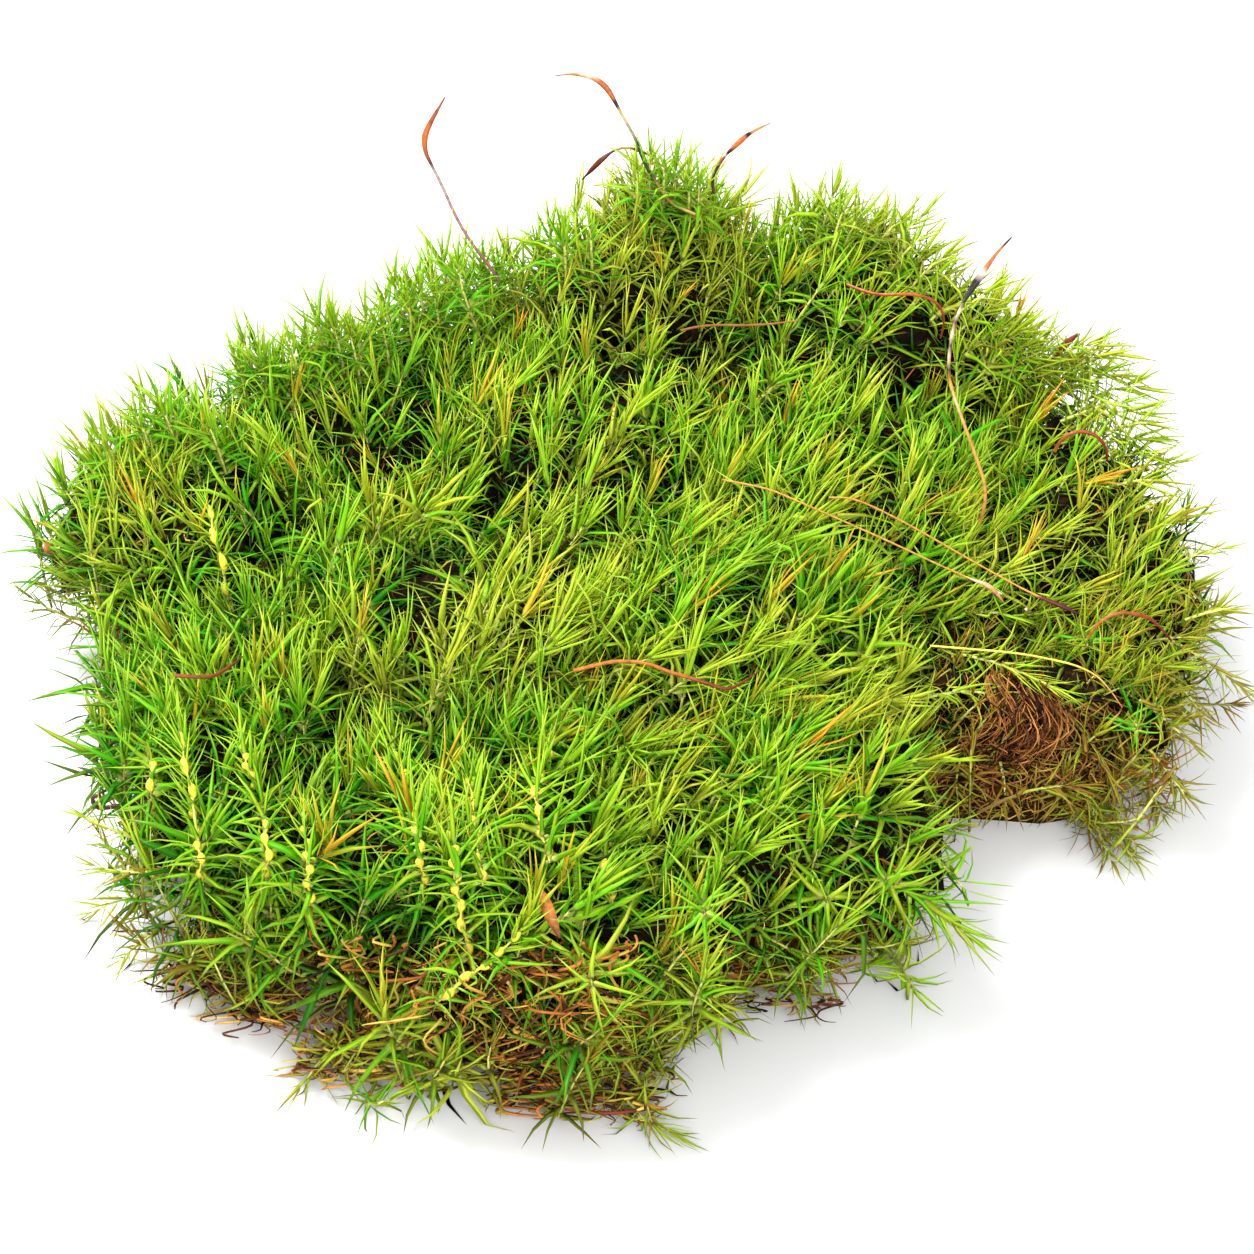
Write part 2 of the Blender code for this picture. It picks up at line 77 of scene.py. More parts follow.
FLOOR_GAP_MM = 0.17
GOLDEN_TURN = math.radians(137.5)
NOISE_SEED = 7

MATH, MIX, REMAP, RAMP = "ShaderNodeMath", "ShaderNodeMix", "ShaderNodeMapRange", "ShaderNodeValToRGB"
NOISE, SKIN, SURFACE = "ShaderNodeTexNoise", "ShaderNodeBsdfPrincipled", "ShaderNodeOutputMaterial"
XYZ, VECTOR, TURNED = "ShaderNodeCombineXYZ", "ShaderNodeVectorMath", "FunctionNodeRotateRotation"
READ, STORE = "GeometryNodeInputNamedAttribute", "GeometryNodeStoreNamedAttribute"
Adder = Callable[..., Node]

log = logging.getLogger("moss_clump")


class Slot(Enum):
    """The record's material slots."""

    MOSS = "moss"
    DEAD_MOSS = "dead_moss"
    ROOT_MAT = "root_mat"
    SETA = "seta"
    STRAW = "straw"
    LITTER = "litter"


def linear(hex_colour: str) -> tuple[float, float, float, float]:
    """Turn an sRGB hex colour into linear red, green, blue and alpha.

    Args:
        hex_colour: The colour as #RRGGBB.

    Returns:
        The linear colour, opaque.
    """
    parts = [int(hex_colour[i:i + 2], 16) / 255 for i in (1, 3, 5)]
    values = [c / 12.92 if c <= 0.04045 else ((c + 0.055) / 1.055) ** 2.4 for c in parts]
    return values[0], values[1], values[2], 1.0


def add_node(tree: NodeTree, kind: str, inputs: dict | list | tuple = (), **settings) -> Node:
    """Add a node with its settings, and fill or link its inputs.

    Args:
        tree: The tree that the node goes into.
        kind: Blender's name of the node's type.
        inputs: Values, sockets or nodes, in order or by the input's name or number. A node gives its
            first live output.
        settings: Properties of the node.

    Returns:
        The new node.
    """
    node = tree.nodes.new(kind)
    for name, value in settings.items():
        setattr(node, name, value)
    for key, value in inputs.items() if isinstance(inputs, dict) else enumerate(inputs):
        if isinstance(value, Node):
            value = next(socket for socket in value.outputs if socket.enabled)
        if isinstance(value, NodeSocket):
            tree.links.new(value, node.inputs[key])
        else:
            node.inputs[key].default_value = value
    return node


def new_material(name: str) -> tuple[Material, Adder]:
    """Begin a material with an empty tree.

    Args:
        name: The material's name.

    Returns:
        The material and what adds nodes to it.
    """
    material = bpy.data.materials.new(name)
    material.use_nodes = True
    material.node_tree.nodes.clear()
    return material, partial(add_node, material.node_tree)


def new_group(name: str, inputs: tuple, output: str) -> tuple[NodeTree, Adder, NodeOutputs]:
    """Begin a node group with named inputs and one geometry output.

    Args:
        name: The group's name.
        inputs: For each input, its name and its kind.
        output: The output's name.

    Returns:
        The group, what adds nodes to it, and its inputs.
    """
    tree = bpy.data.node_groups.new(name, "GeometryNodeTree")
    for key, kind in inputs:
        tree.interface.new_socket(key, in_out="INPUT", socket_type="NodeSocket" + kind)
    tree.interface.new_socket(output, in_out="OUTPUT", socket_type="NodeSocketGeometry")
    add = partial(add_node, tree)
    return tree, add, add("NodeGroupInput").outputs


def new_object(name: str, data: ID) -> Object:
    """Make an object and link it to the scene."""
    thing = bpy.data.objects.new(name, data)
    bpy.context.scene.collection.objects.link(thing)
    return thing


def colour_stops(node: Node, stops: tuple) -> Node:
    """Set the stops of a colour ramp.

    Args:
        node: A colour ramp node.
        stops: Places from 0 to 1 with their sRGB hex colours.

    Returns:
        The same node.
    """
    elements = node.color_ramp.elements
    while len(elements) < len(stops):
        elements.new(1.0)
    for element, (place, colour) in zip(elements, stops):
        element.position = place
        element.color = linear(colour)
    return node


@dataclass(frozen=True)
class LeafFinish:
    """Living moss leaf: one cell thick, waxy and see-through enough to glow against the light.

    It grew as a narrow blade with a rib. The wax gives small sharp highlights, and the thin blade lets
    yellow-green light through. Its foot is mixed towards a pale colour that shows as a bead on the stem;
    that pale colour is partly the swollen leaf foot and partly painted highlight. The lower leaves of
    each stem are mixed towards a dark green painted shade.
    """

    name: str = "moss_leaf"
    ramp: tuple = ((0.0, "#185E0A"), (0.25, "#34980C"), (0.5, "#62B012"), (0.75, "#94BC20"), (1.0, "#B4C038"))
    tip: str = "#9CA83A"
    # pale leaf foot: partly its own colour, partly painted highlight on the leaf feet
    sheath: str = "#DAD67C"
    olive: str = "#98882E"
    brown: str = "#80501F"
    spear: str = "#9AB228"
    gold: str = "#D8902C"
    # painted shade: the dark green that the lower leaves of each stem are mixed towards
    shade: str = "#0C3006"
    mottle_mm: float = 2.2
    roughness: float = 0.36
    specular: float = 0.09
    glow: float = 0.28

    def build(self) -> Material:
        """Build the node tree.

        Returns:
            The finished material.
        """
        material, add = new_material(self.name)
        tone, own, along, share, olive, golden = (add("ShaderNodeAttribute",
            attribute_name=name).outputs["Fac"] for name in ("tone", "leaf_tone", "along", "share", "olive",
            "gold"))
        place = add("ShaderNodeTexCoord").outputs["Object"]
        mottle = add(NOISE, {"Vector": place, "Scale": 1 / (self.mottle_mm * MM), "Detail": 2.0})
        young = tone
        for cause, weight in ((own, 0.34), (mottle, 0.3), (share, 0.3)):
            young = add(MATH, [cause, weight, young], operation="MULTIPLY_ADD")
        centred = add(MATH, [young, 0.47], operation="SUBTRACT")
        tipped = colour_stops(add(RAMP, {"Fac": centred}), self.ramp)
        tip_share = add(REMAP, [along, 0.55, 1.0, 0.0, 0.6])
        tipped = add(MIX, {"Factor": tip_share, 6: tipped, 7: linear(self.tip)}, data_type="RGBA")
        crown = add(REMAP, [share, 0.78, 0.97, 0.0, 0.5])
        tipped = add(MIX, {"Factor": crown, 6: tipped, 7: linear(self.spear)}, data_type="RGBA")
        gilt = add(MATH, [golden, crown], operation="MULTIPLY")
        tipped = add(MIX, {"Factor": gilt, 6: tipped, 7: linear(self.gold)}, data_type="RGBA")
        # Painted shade: the lower leaves of each stem are mixed towards the dark shade colour. The leaf's
        # foot is mixed towards the pale colour, partly painted highlight.
        for cause, low, high, tint in ((share, 0.35, 0.85, self.shade), (along, 0.0, 0.16, self.sheath)):
            fading = add(REMAP, [cause, low, high, 0.85, 0.0])
            tipped = add(MIX, {"Factor": fading, 6: tipped, 7: linear(tint)}, data_type="RGBA")
        old = add(REMAP, [share, 0.0, 0.42, 0.75, 0.0])
        wilted = add(MATH, [old, olive], operation="MAXIMUM")
        patchy = add(MATH, [own, 0.5, wilted], operation="MULTIPLY_ADD")
        withering = add(REMAP, [patchy, 0.35, 1.25, 0.0, 1.0])
        dry = add(MIX, {"Factor": own, 6: linear(self.olive), 7: linear(self.brown)}, data_type="RGBA")
        colour = add(MIX, {"Factor": withering, 6: tipped, 7: dry}, data_type="RGBA")
        skin = add(SKIN, {"Base Color": colour, "Roughness": self.roughness,
            "Specular IOR Level": self.specular})
        through = add("ShaderNodeBsdfTranslucent", {"Color": colour})
        both = add("ShaderNodeMixShader", [self.glow, skin, through])
        add(SURFACE, {"Surface": both})
        return material


@dataclass(frozen=True)
class MottledFinish:
    """A dull plant surface with two scales of mottling, from dark to light, and a rough relief."""

    name: str
    ramp: tuple
    coarse_mm: float
    fine_mm: float
    roughness: float
    relief_mm: float

    def build(self) -> Material:
        """Build the node tree.

        Returns:
            The finished material.
        """
        material, add = new_material(self.name)
        place = add("ShaderNodeTexCoord").outputs["Object"]
        coarse = add(NOISE, {"Vector": place, "Scale": 1 / (self.coarse_mm * MM), "Detail": 4.0})
        fine = add(NOISE, {"Vector": place, "Scale": 1 / (self.fine_mm * MM), "Detail": 3.0})
        both = add(MIX, {"Factor": 0.5, 2: coarse, 3: fine})
        colour = colour_stops(add(RAMP, {"Fac": both}), self.ramp)
        bump = add("ShaderNodeBump", {"Height": fine, "Distance": self.relief_mm * MM, "Strength": 0.8})
        skin = add(SKIN, {"Base Color": colour, "Normal": bump, "Roughness": self.roughness,
            "Specular IOR Level": 0.04})
        add(SURFACE, {"Surface": skin})
        return material


@dataclass(frozen=True)
class StalkFinish:
    """A wiry stalk: smooth and woody, its colour set by how far along it a point lies."""

    name: str
    bands: tuple
    roughness: float = 0.32
    grain_mm: float = 0.7
    dark: float = 0.5
    light: float = 1.05

    def build(self) -> Material:
        """Build the node tree.

        Returns:
            The finished material.
        """
        material, add = new_material(self.name)
        share = add("ShaderNodeAttribute", attribute_name="share").outputs["Fac"]
        place = add("ShaderNodeTexCoord").outputs["Object"]
        grain = add(NOISE, {"Vector": place, "Scale": 1 / (self.grain_mm * MM), "Detail": 3.0})
        body = colour_stops(add(RAMP, {"Fac": share}), self.bands)
        shade = add(REMAP, [grain, 0.3, 0.7, self.dark, self.light])
        colour = add(MIX, {"Factor": 1.0, 6: body, 7: shade}, data_type="RGBA", blend_type="MULTIPLY")
        bump = add("ShaderNodeBump", {"Height": grain, "Distance": 0.05 * MM, "Strength": 0.5})
        skin = add(SKIN, {"Base Color": colour, "Normal": bump, "Roughness": self.roughness,
            "Specular IOR Level": 0.2})
        add(SURFACE, {"Surface": skin})
        return material


@dataclass
class Studio:
    """The white sweep, the soft light and the camera at the photograph's viewing angle."""

    eye: tuple = (0.0, -0.30202, 0.26912)
    aim: tuple = (0.0, 0.0044, 0.012)
    lens_mm: float = 87.5
    sensor_mm: float = 36.0
    floor_side: float = 8.0
    floor_colour: str = "#BEBEBE"
    floor_roughness: float = 0.7
    lights: tuple = (("key", (-0.52, 0.38, 0.86), 0.5, 33.0), ("fill", (0.15, -0.75, 0.5), 0.8, 14.0))
    sky_strength: float = 1.3
    picture_px: float = 1254.0

    def axes(self) -> tuple[Vector, Vector, Vector]:
        """Find which way the camera's picture has ahead, right and up."""
        ahead = (Vector(self.aim) - Vector(self.eye)).normalized()
        right = ahead.cross(Vector((0.0, 0.0, 1.0))).normalized()
        return ahead, right, right.cross(ahead)

    def focal_px(self) -> float:
        """Find the lens's focal length in pixels."""
        return self.picture_px * self.lens_mm / self.sensor_mm

    def pixel(self, place_mm: np.ndarray) -> tuple[float, float]:
        """Find the pixel that shows a place.

        Args:
            place_mm: The place in millimetres.

        Returns:
            The pixel's column and row.
        """
        ahead, right, up = self.axes()
        way = Vector(place_mm) * MM - Vector(self.eye)
        scale = self.focal_px() / way.dot(ahead)
        return self.picture_px / 2 + scale * way.dot(right), self.picture_px / 2 - scale * way.dot(up)

    def build(self) -> None:
        """Add the camera, the lights and the floor."""
        self.add_camera()
        self.add_lights()
        self.add_floor()

    def add_camera(self) -> None:
        """Place the camera."""
        data = bpy.data.cameras.new("camera")
        data.lens = self.lens_mm
        data.sensor_width = self.sensor_mm
        data.clip_start = 0.01
        camera = new_object("camera", data)
        camera.location = self.eye
        camera.rotation_euler = (Vector(self.aim) - Vector(self.eye)).to_track_quat("-Z", "Y").to_euler()
        bpy.context.scene.camera = camera

    def add_lights(self) -> None:
        """Add the white surroundings, a soft key light from behind on the left and a weak front fill."""
        world = bpy.data.worlds.new("studio")
        bpy.context.scene.world = world
        world.use_nodes = True
        backdrop = world.node_tree.nodes["Background"]
        backdrop.inputs["Color"].default_value = (1.0, 1.0, 1.0, 1.0)
        backdrop.inputs["Strength"].default_value = self.sky_strength
        for name, place, side, watts in self.lights:
            data = bpy.data.lights.new(name, "AREA")
            data.size = side
            data.energy = watts
            light = new_object(name, data)
            light.location = place
            light.rotation_euler = (-Vector(place)).to_track_quat("-Z", "Y").to_euler()
        bpy.context.scene.view_settings.view_transform = "Standard"

    def add_floor(self) -> None:
        """Add the pale floor."""
        half = self.floor_side / 2
        mesh = bpy.data.meshes.new("floor")
        mesh.from_pydata([(-half, -half, 0), (half, -half, 0), (half, half, 0), (-half, half, 0)], [],
            [(0, 1, 2, 3)])
        material = bpy.data.materials.new("white_paper_sweep")
        material.use_nodes = True
        skin = material.node_tree.nodes["Principled BSDF"]
        skin.inputs["Base Color"].default_value = linear(self.floor_colour)
        skin.inputs["Roughness"].default_value = self.floor_roughness
        mesh.materials.append(material)
        new_object("floor", mesh)


@dataclass(frozen=True)
class LeafShape:
    """One leaf of unit length along +X, its upper side towards +Z, bent to an arc and keeled."""

    stations: tuple
    half_widths: tuple
    bend: float = 0.0
    sweep: float = 0.0
    thickness: float = 0.016

    def middle(self, x: float) -> tuple[float, float, float]:
        """Place a point of the blade's middle line.

        Args:
            x: How far along the blade it lies, from 0 to 1.

        Returns:
            The point.
        """
        turn = self.bend if abs(self.bend) > 1e-3 else 1e-3
        return math.sin(turn * x) / turn, self.sweep * x * x, (1 - math.cos(turn * x)) / turn

    def build(self, name: str) -> Object:
        """Make the closed leaf with its place along the blade and its cell of the map.

        Args:
            name: The name of the object.

        Returns:
            An object that isn't linked to the scene.
        """
        shape = bmesh.new()
        along = shape.verts.layers.float.new("along")
        cell = shape.loops.layers.uv.new("cell")
        foot, tip = shape.verts.new(self.middle(0.0)), shape.verts.new(self.middle(1.0))
        tip[along] = 1.0
        rows = []
        for part, half in zip(self.stations, self.half_widths):
            x, y, z = self.middle(part)
            keel = self.thickness * (0.4 + half / max(self.half_widths))
            row = [shape.verts.new(spot) for spot in ((x, y + half, z), (x, y - half, z), (x, y, z - keel))]
            for vertex in row:
                vertex[along] = part
            rows.append(row)
        for low, high in zip([[foot] * 3, *rows], [*rows, [tip] * 3]):
            for side in range(3):
                after = (side + 1) % 3
                corners = (low[side], high[side], high[after], low[after])
                shape.faces.new(list(dict.fromkeys(corners)))
        bmesh.ops.recalc_face_normals(shape, faces=shape.faces)
        for number, face in enumerate(shape.faces):
            face.smooth = True
            middle = sum(loop.vert.co.y for loop in face.loops) / len(face.loops)
            for loop in face.loops:
                lean = 0.5 if loop.vert in (foot, tip) else (0.2 if loop.vert.co.y < middle else 0.8)
                loop[cell].uv = (0.04 + 0.92 * loop.vert[along], (number % 3 + lean) / 3)
        mesh = bpy.data.meshes.new(name)
        shape.to_mesh(mesh)
        shape.free()
        return bpy.data.objects.new(name, mesh)


@dataclass(frozen=True)
class LeafSet:
    """The leaf shapes that shoots pick from: upper, plainer lower, arching, and the spear of the tip.

    Each kind has its stations along the blade, its half widths there, and bends with their sweeps.
    """

    kinds: tuple = (((0.25, 0.65), (0.033, 0.023), ((-0.5, 0.30), (-1.0, -0.24), (-1.5, 0.20), (0.5, -0.34))),
        ((0.4,), (0.033,), ((-0.3, 0.26), (-0.7, -0.20), (-1.1, -0.30), (-1.4, 0.18))),
        ((0.08, 0.3, 0.65), (0.056, 0.040, 0.027), ((-0.9, 0.26), (-1.4, -0.24), (-1.9, -0.18),
        (-0.5, 0.40))), ((0.14, 0.55), (0.038, 0.026), ((0.22, 0.08), (-0.30, -0.14))))
    plain: range = range(4, 8)

    def build(self) -> Collection:
        """Make every leaf shape.

        Returns:
            A collection that isn't linked to the scene.
        """
        leaves = bpy.data.collections.new("leaf_shapes")
        for stations, halves, bends in self.kinds:
            for bend, sweep in bends:
                shape = LeafShape(stations, halves, bend, sweep)
                leaves.objects.link(shape.build(f"leaf_{len(leaves.objects):02d}"))
        return leaves

    def undergrowth(self, leaves: Collection) -> Collection:
        """Pick the plain lower leaves out of all leaf shapes."""
        some = bpy.data.collections.new("plain_leaf_shapes")
        for number in self.plain:
            some.objects.link(leaves.objects[number])
        return some


def drawn(add: Adder, seed: NodeSocket, ranges: tuple) -> dict[str, Node]:
    """Draw numbers for each point of a node group.

    Args:
        add: Adds a node to the group.
        seed: The group's seed.
        ranges: For each number, its name, its lowest and its highest value.

    Returns:
        The drawn numbers by name.
    """
    numbers = {}
    for shift, (key, low, high) in enumerate(ranges, 1):
        own_seed = add(MATH, [seed, float(shift)])
        numbers[key] = add("FunctionNodeRandomValue", {2: low, 3: high, 8: own_seed})
    return numbers


@dataclass
class ShootTree:
    """The node group that sets leaves in a spiral on every stem and skins the stems."""

    tubes: NodeTree
    kinds_each: int = 4
    upper_from: float = 0.55
    spear_from: float = 0.82
    stem_points: int = 5
    stem_sides: int = 3
    ranges: tuple = (("turn", -0.35, 0.35), ("spread", -0.38, 0.38), ("roll", -1.0, 1.0),
        ("length", 0.7, 1.2), ("breadth", 0.75, 1.15), ("kind", 0.0, 4.0), ("tone", 0.0, 1.0),
        ("arch", 0.0, 1.0))
    read: tuple = ("share", "spread", "leaf_length", "phase", "bare", "arch")
    inputs: tuple = (("Shoots", "Geometry"), ("Leaves", "Collection"), ("Leaf gap", "Float"),
        ("Turn", "Float"), ("Floor", "Float"), ("Cells", "Int"), ("Seed", "Int"), ("Leaf finish", "Material"),
        ("Stem finish", "Material"))

    def build(self) -> NodeTree:
        """Build the node group.

        Returns:
            The node group, which takes a mesh of edge chains with their attributes.
        """
        tree, add, given = new_group("leafy_shoots", self.inputs, "Moss")
        stems = add("GeometryNodeMeshToCurve", {"Mesh": given["Shoots"]})
        leaves = self.leaves(add, given, stems)
        row = add(MATH, [1.0, given["Cells"]], operation="DIVIDE")
        skinned = add("GeometryNodeGroup", {"Paths": given["Shoots"], "Points": self.stem_points,
            "Sides": self.stem_sides, "Map height": row, "Finish": given["Stem finish"]},
            node_tree=self.tubes)
        both = add("GeometryNodeJoinGeometry")
        tree.links.new(skinned.outputs[0], both.inputs[0])
        tree.links.new(leaves.outputs[0], both.inputs[0])
        add("NodeGroupOutput", {"Moss": both})
        return tree

    def leaves(self, add: Adder, given: NodeOutputs, stems: Node) -> Node:
        """Set the leaves on the stems.

        Args:
            add: Adds a node to the group.
            given: The group's inputs.
            stems: The stems as curves.

        Returns:
            The leaves as a mesh with its finish.
        """
        sites = add("GeometryNodeResampleCurve", {"Curve": stems, "Length": given["Leaf gap"]}, mode="LENGTH")
        chance = drawn(add, given["Seed"], self.ranges)
        told = {name: add(READ, {"Name": name}) for name in self.read}
        is_spear = add(MATH, [told["share"], self.spear_from], operation="GREATER_THAN")
        turned = self.blade_rotation(add, given, chance, told)
        loose = add(MATH, [is_spear, -0.75, 1.0], operation="MULTIPLY_ADD")
        loose = add(MATH, [told["arch"], -0.5, loose], operation="MULTIPLY_ADD")
        rolling = add(MATH, [chance["roll"], loose], operation="MULTIPLY")
        roll = add(XYZ, {"X": rolling})
        rolled = add(TURNED, [turned, roll], rotation_space="LOCAL")
        length = add(MATH, [told["leaf_length"], chance["length"]], operation="MULTIPLY")
        breadth = add(MATH, [length, chance["breadth"]], operation="MULTIPLY")
        size = add(XYZ, {"X": length, "Y": breadth, "Z": length})
        shapes = add("GeometryNodeCollectionInfo", {"Collection": given["Leaves"], "Separate Children": True,
            "Reset Children": True})
        leafy = add(MATH, [told["share"], told["bare"]], operation="GREATER_THAN")
        put = add("GeometryNodeInstanceOnPoints", {"Points": sites, "Selection": leafy, "Instance": shapes,
            "Pick Instance": True, "Instance Index": self.leaf_kind(add, chance, told, is_spear),
            "Rotation": rolled, "Scale": size})
        toned = add(STORE, {"Geometry": put, "Name": "leaf_tone", "Value": chance["tone"]}, domain="INSTANCE")
        mapped = LeafMap().build(add, given, toned)
        return add("GeometryNodeSetMaterial", {"Geometry": mapped, "Material": given["Leaf finish"]})

    def blade_rotation(self, add: Adder, given: NodeOutputs, chance: dict[str, Node],
            told: dict[str, Node]) -> Node:
        """Turn each leaf round its stem and away from it.

        Args:
            add: Adds a node to the group.
            given: The group's inputs.
            chance: The drawn numbers.
            told: The numbers that the stems carry.

        Returns:
            The leaf's rotation.
        """
        index = add("GeometryNodeSplineParameter").outputs["Index"]
        ahead = add("GeometryNodeInputTangent")
        normal = add("GeometryNodeInputNormal")
        phase = add(MATH, [told["phase"], chance["turn"]])
        angle = add(MATH, [index, given["Turn"], phase], operation="MULTIPLY_ADD")
        out = add("ShaderNodeVectorRotate", {"Vector": normal, "Axis": ahead, "Angle": angle},
            rotation_type="AXIS_ANGLE")
        at_tip = add(REMAP, [told["share"], 0.72, 0.84, 1.0, 0.2])
        spread = add(MATH, [chance["spread"], at_tip, told["spread"]], operation="MULTIPLY_ADD")
        cosine = add(MATH, [spread], operation="COSINE")
        sine = add(MATH, [spread], operation="SINE")
        less = add(MATH, [cosine, -1.0], operation="MULTIPLY")
        out_part = add(VECTOR, {0: out, "Scale": sine}, operation="SCALE")
        blade = add(VECTOR, [ahead, cosine, out_part], operation="MULTIPLY_ADD")
        back_part = add(VECTOR, {0: out, "Scale": less}, operation="SCALE")
        face = add(VECTOR, [ahead, sine, back_part], operation="MULTIPLY_ADD")
        return add("FunctionNodeAxesToRotation", [blade, face], primary_axis="X", secondary_axis="Z")

    def leaf_kind(self, add: Adder, chance: dict[str, Node], told: dict[str, Node], is_spear: Node) -> Node:
        """Pick the shape of each leaf by its place on the stem.

        Args:
            add: Adds a node to the group.
            chance: The drawn numbers.
            told: The numbers that the stems carry.
            is_spear: Whether the leaf belongs to the pointed tip.

        Returns:
            The number of the leaf shape.
        """
        is_low = add(MATH, [told["share"], self.upper_from], operation="LESS_THAN")
        kind = add(MATH, [is_low, float(self.kinds_each), chance["kind"]], operation="MULTIPLY_ADD")
        arched = add(MATH, [chance["arch"], told["arch"]], operation="LESS_THAN")
        arching = add(MATH, [chance["kind"], 2.0 * self.kinds_each])
        kind = add(MIX, {"Factor": arched, 2: kind, 3: arching})
        spear = add(MATH, [chance["kind"], 0.5, 3.0 * self.kinds_each], operation="MULTIPLY_ADD")
        kind = add(MIX, {"Factor": is_spear, 2: kind, 3: spear})
        return add(MATH, [kind], operation="FLOOR")


@dataclass(frozen=True)
class LeafMap:
    """The part of a node group that makes leaves real, keeps them off the floor and maps them."""

    read: tuple = (("leaf_number", "INT"), ("cell", "FLOAT_VECTOR"))

    def build(self, add: Adder, given: NodeOutputs, instances: Node) -> Node:
        """Give every leaf its own square of the map, with the lowest row of squares left to the stems.

        Args:
            add: Adds a node to the group.
            given: The group's inputs: how many squares stand in a row, and the lowest height.
            instances: The leaves as instances.

        Returns:
            The leaves as a mesh with its map.
        """
        number = add("GeometryNodeInputIndex")
        numbered = add(STORE, {"Geometry": instances, "Name": "leaf_number", "Value": number},
            data_type="INT", domain="INSTANCE")
        real = add("GeometryNodeRealizeInstances", {"Geometry": numbered})
        place = add("GeometryNodeInputPosition")
        spot = add("ShaderNodeSeparateXYZ", [place]).outputs
        height = add(MATH, [spot["Z"], given["Floor"]], operation="MAXIMUM")
        lifted = add(XYZ, {"X": spot["X"], "Y": spot["Y"], "Z": height})
        laid = add("GeometryNodeSetPosition", {"Geometry": real, "Position": lifted})
        told = {name: add(READ, {"Name": name}, data_type=kind) for name, kind in self.read}
        cells = given["Cells"]
        column = add(MATH, [told["leaf_number"], cells], operation="MODULO")
        over = add(MATH, [told["leaf_number"], cells], operation="DIVIDE")
        row = add(MATH, [over], operation="FLOOR")
        above = add(MATH, [row, 1.0])
        corner = add(XYZ, {"X": column, "Y": above})
        at = add(VECTOR, [corner, told["cell"]])
        part = add(MATH, [1.0, cells], operation="DIVIDE")
        spot = add(VECTOR, {0: at, "Scale": part}, operation="SCALE")
        return add(STORE, {"Geometry": laid, "Name": BAKE_MAP, "Value": spot}, data_type="FLOAT2",
            domain="CORNER")


@dataclass
class TubeTree:
    """The node group that skins paths: stems, stalks, fibres and needles."""

    inputs: tuple = (("Paths", "Geometry"), ("Points", "Int"), ("Sides", "Int"), ("Map height", "Float"),
        ("Finish", "Material"))

    def build(self) -> NodeTree:
        """Build the node group.

        Returns:
            The node group, which takes edge chains with a radius, a share and a strip of the map.
        """
        tree, add, given = new_group("skinned_paths", self.inputs, "Tubes")
        paths = add("GeometryNodeMeshToCurve", {"Mesh": given["Paths"]})
        plain = add("GeometryNodeResampleCurve", {"Curve": paths, "Count": given["Points"]})
        profile = add("GeometryNodeCurvePrimitiveCircle", {"Resolution": given["Sides"], "Radius": 1.0})
        around = add("GeometryNodeSplineParameter").outputs["Factor"]
        marked = add(STORE, {"Geometry": profile, "Name": "around", "Value": around})
        thick, share, turn, strip, start = (add(READ, {"Name": name})
            for name in ("radius", "share", "around", "strip", "start"))
        skinned = add("GeometryNodeCurveToMesh", {"Curve": plain, "Profile Curve": marked, "Scale": thick,
            "Fill Caps": True})
        up = add(MATH, [share, given["Map height"]], operation="MULTIPLY")
        beside = add(MATH, [turn, strip, start], operation="MULTIPLY_ADD")
        spot = add(XYZ, {"X": beside, "Y": up})
        mapped = add(STORE, {"Geometry": skinned, "Name": BAKE_MAP, "Value": spot}, data_type="FLOAT2",
            domain="CORNER")
        real = add("GeometryNodeRealizeInstances", {"Geometry": mapped})
        done = add("GeometryNodeSetMaterial", {"Geometry": real, "Material": given["Finish"]})
        add("NodeGroupOutput", {"Tubes": done})
        return tree


def merged_copy(node: Object) -> BMesh:
    """Copy a node of the frame and join its loose triangles."""
    shape = bmesh.new()
    shape.from_mesh(node.data)
    bmesh.ops.remove_doubles(shape, verts=shape.verts, dist=1e-6)
    shape.verts.ensure_lookup_table()
    return shape


def dress(piece: Object, slot: Slot, *stands_for: str, smooth: bool = False) -> Object:
    """Let a piece ride on the root body, for the nodes that it stands for.

    Args:
        piece: The piece.
        slot: Not used.
        stands_for: The frame's nodes that it replaces, if any.
        smooth: Whether its faces are shaded smooth.

    Returns:
        The same piece.
    """
    if smooth:
        piece.data.polygons.foreach_set("use_smooth", [True] * len(piece.data.polygons))
    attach(piece, ROOT)
    if stands_for:
        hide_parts(*stands_for)
    return piece


def evaluated(name: str, source: Object, tree: NodeTree, values: dict[str, object]) -> Object:
    """Run a node group on an object and keep the result as a plain mesh.

    Args:
        name: The name of the new piece.
        source: The object that feeds the group. It is removed afterwards.
        tree: The node group.
        values: The group's inputs by name.

    Returns:
        A plain mesh object, linked to the scene, with its place in its mesh.
    """
    modifier = source.modifiers.new("nodes", "NODES")
    modifier.node_group = tree
    for item in tree.interface.items_tree:
        if item.item_type == "SOCKET" and item.in_out == "INPUT" and item.name in values:
            modifier[item.identifier] = values[item.name]
    ready = source.evaluated_get(bpy.context.evaluated_depsgraph_get())
    mesh = bpy.data.meshes.new_from_object(ready)
    mesh.name = name
    bpy.data.objects.remove(source)
    return new_object(name, mesh)


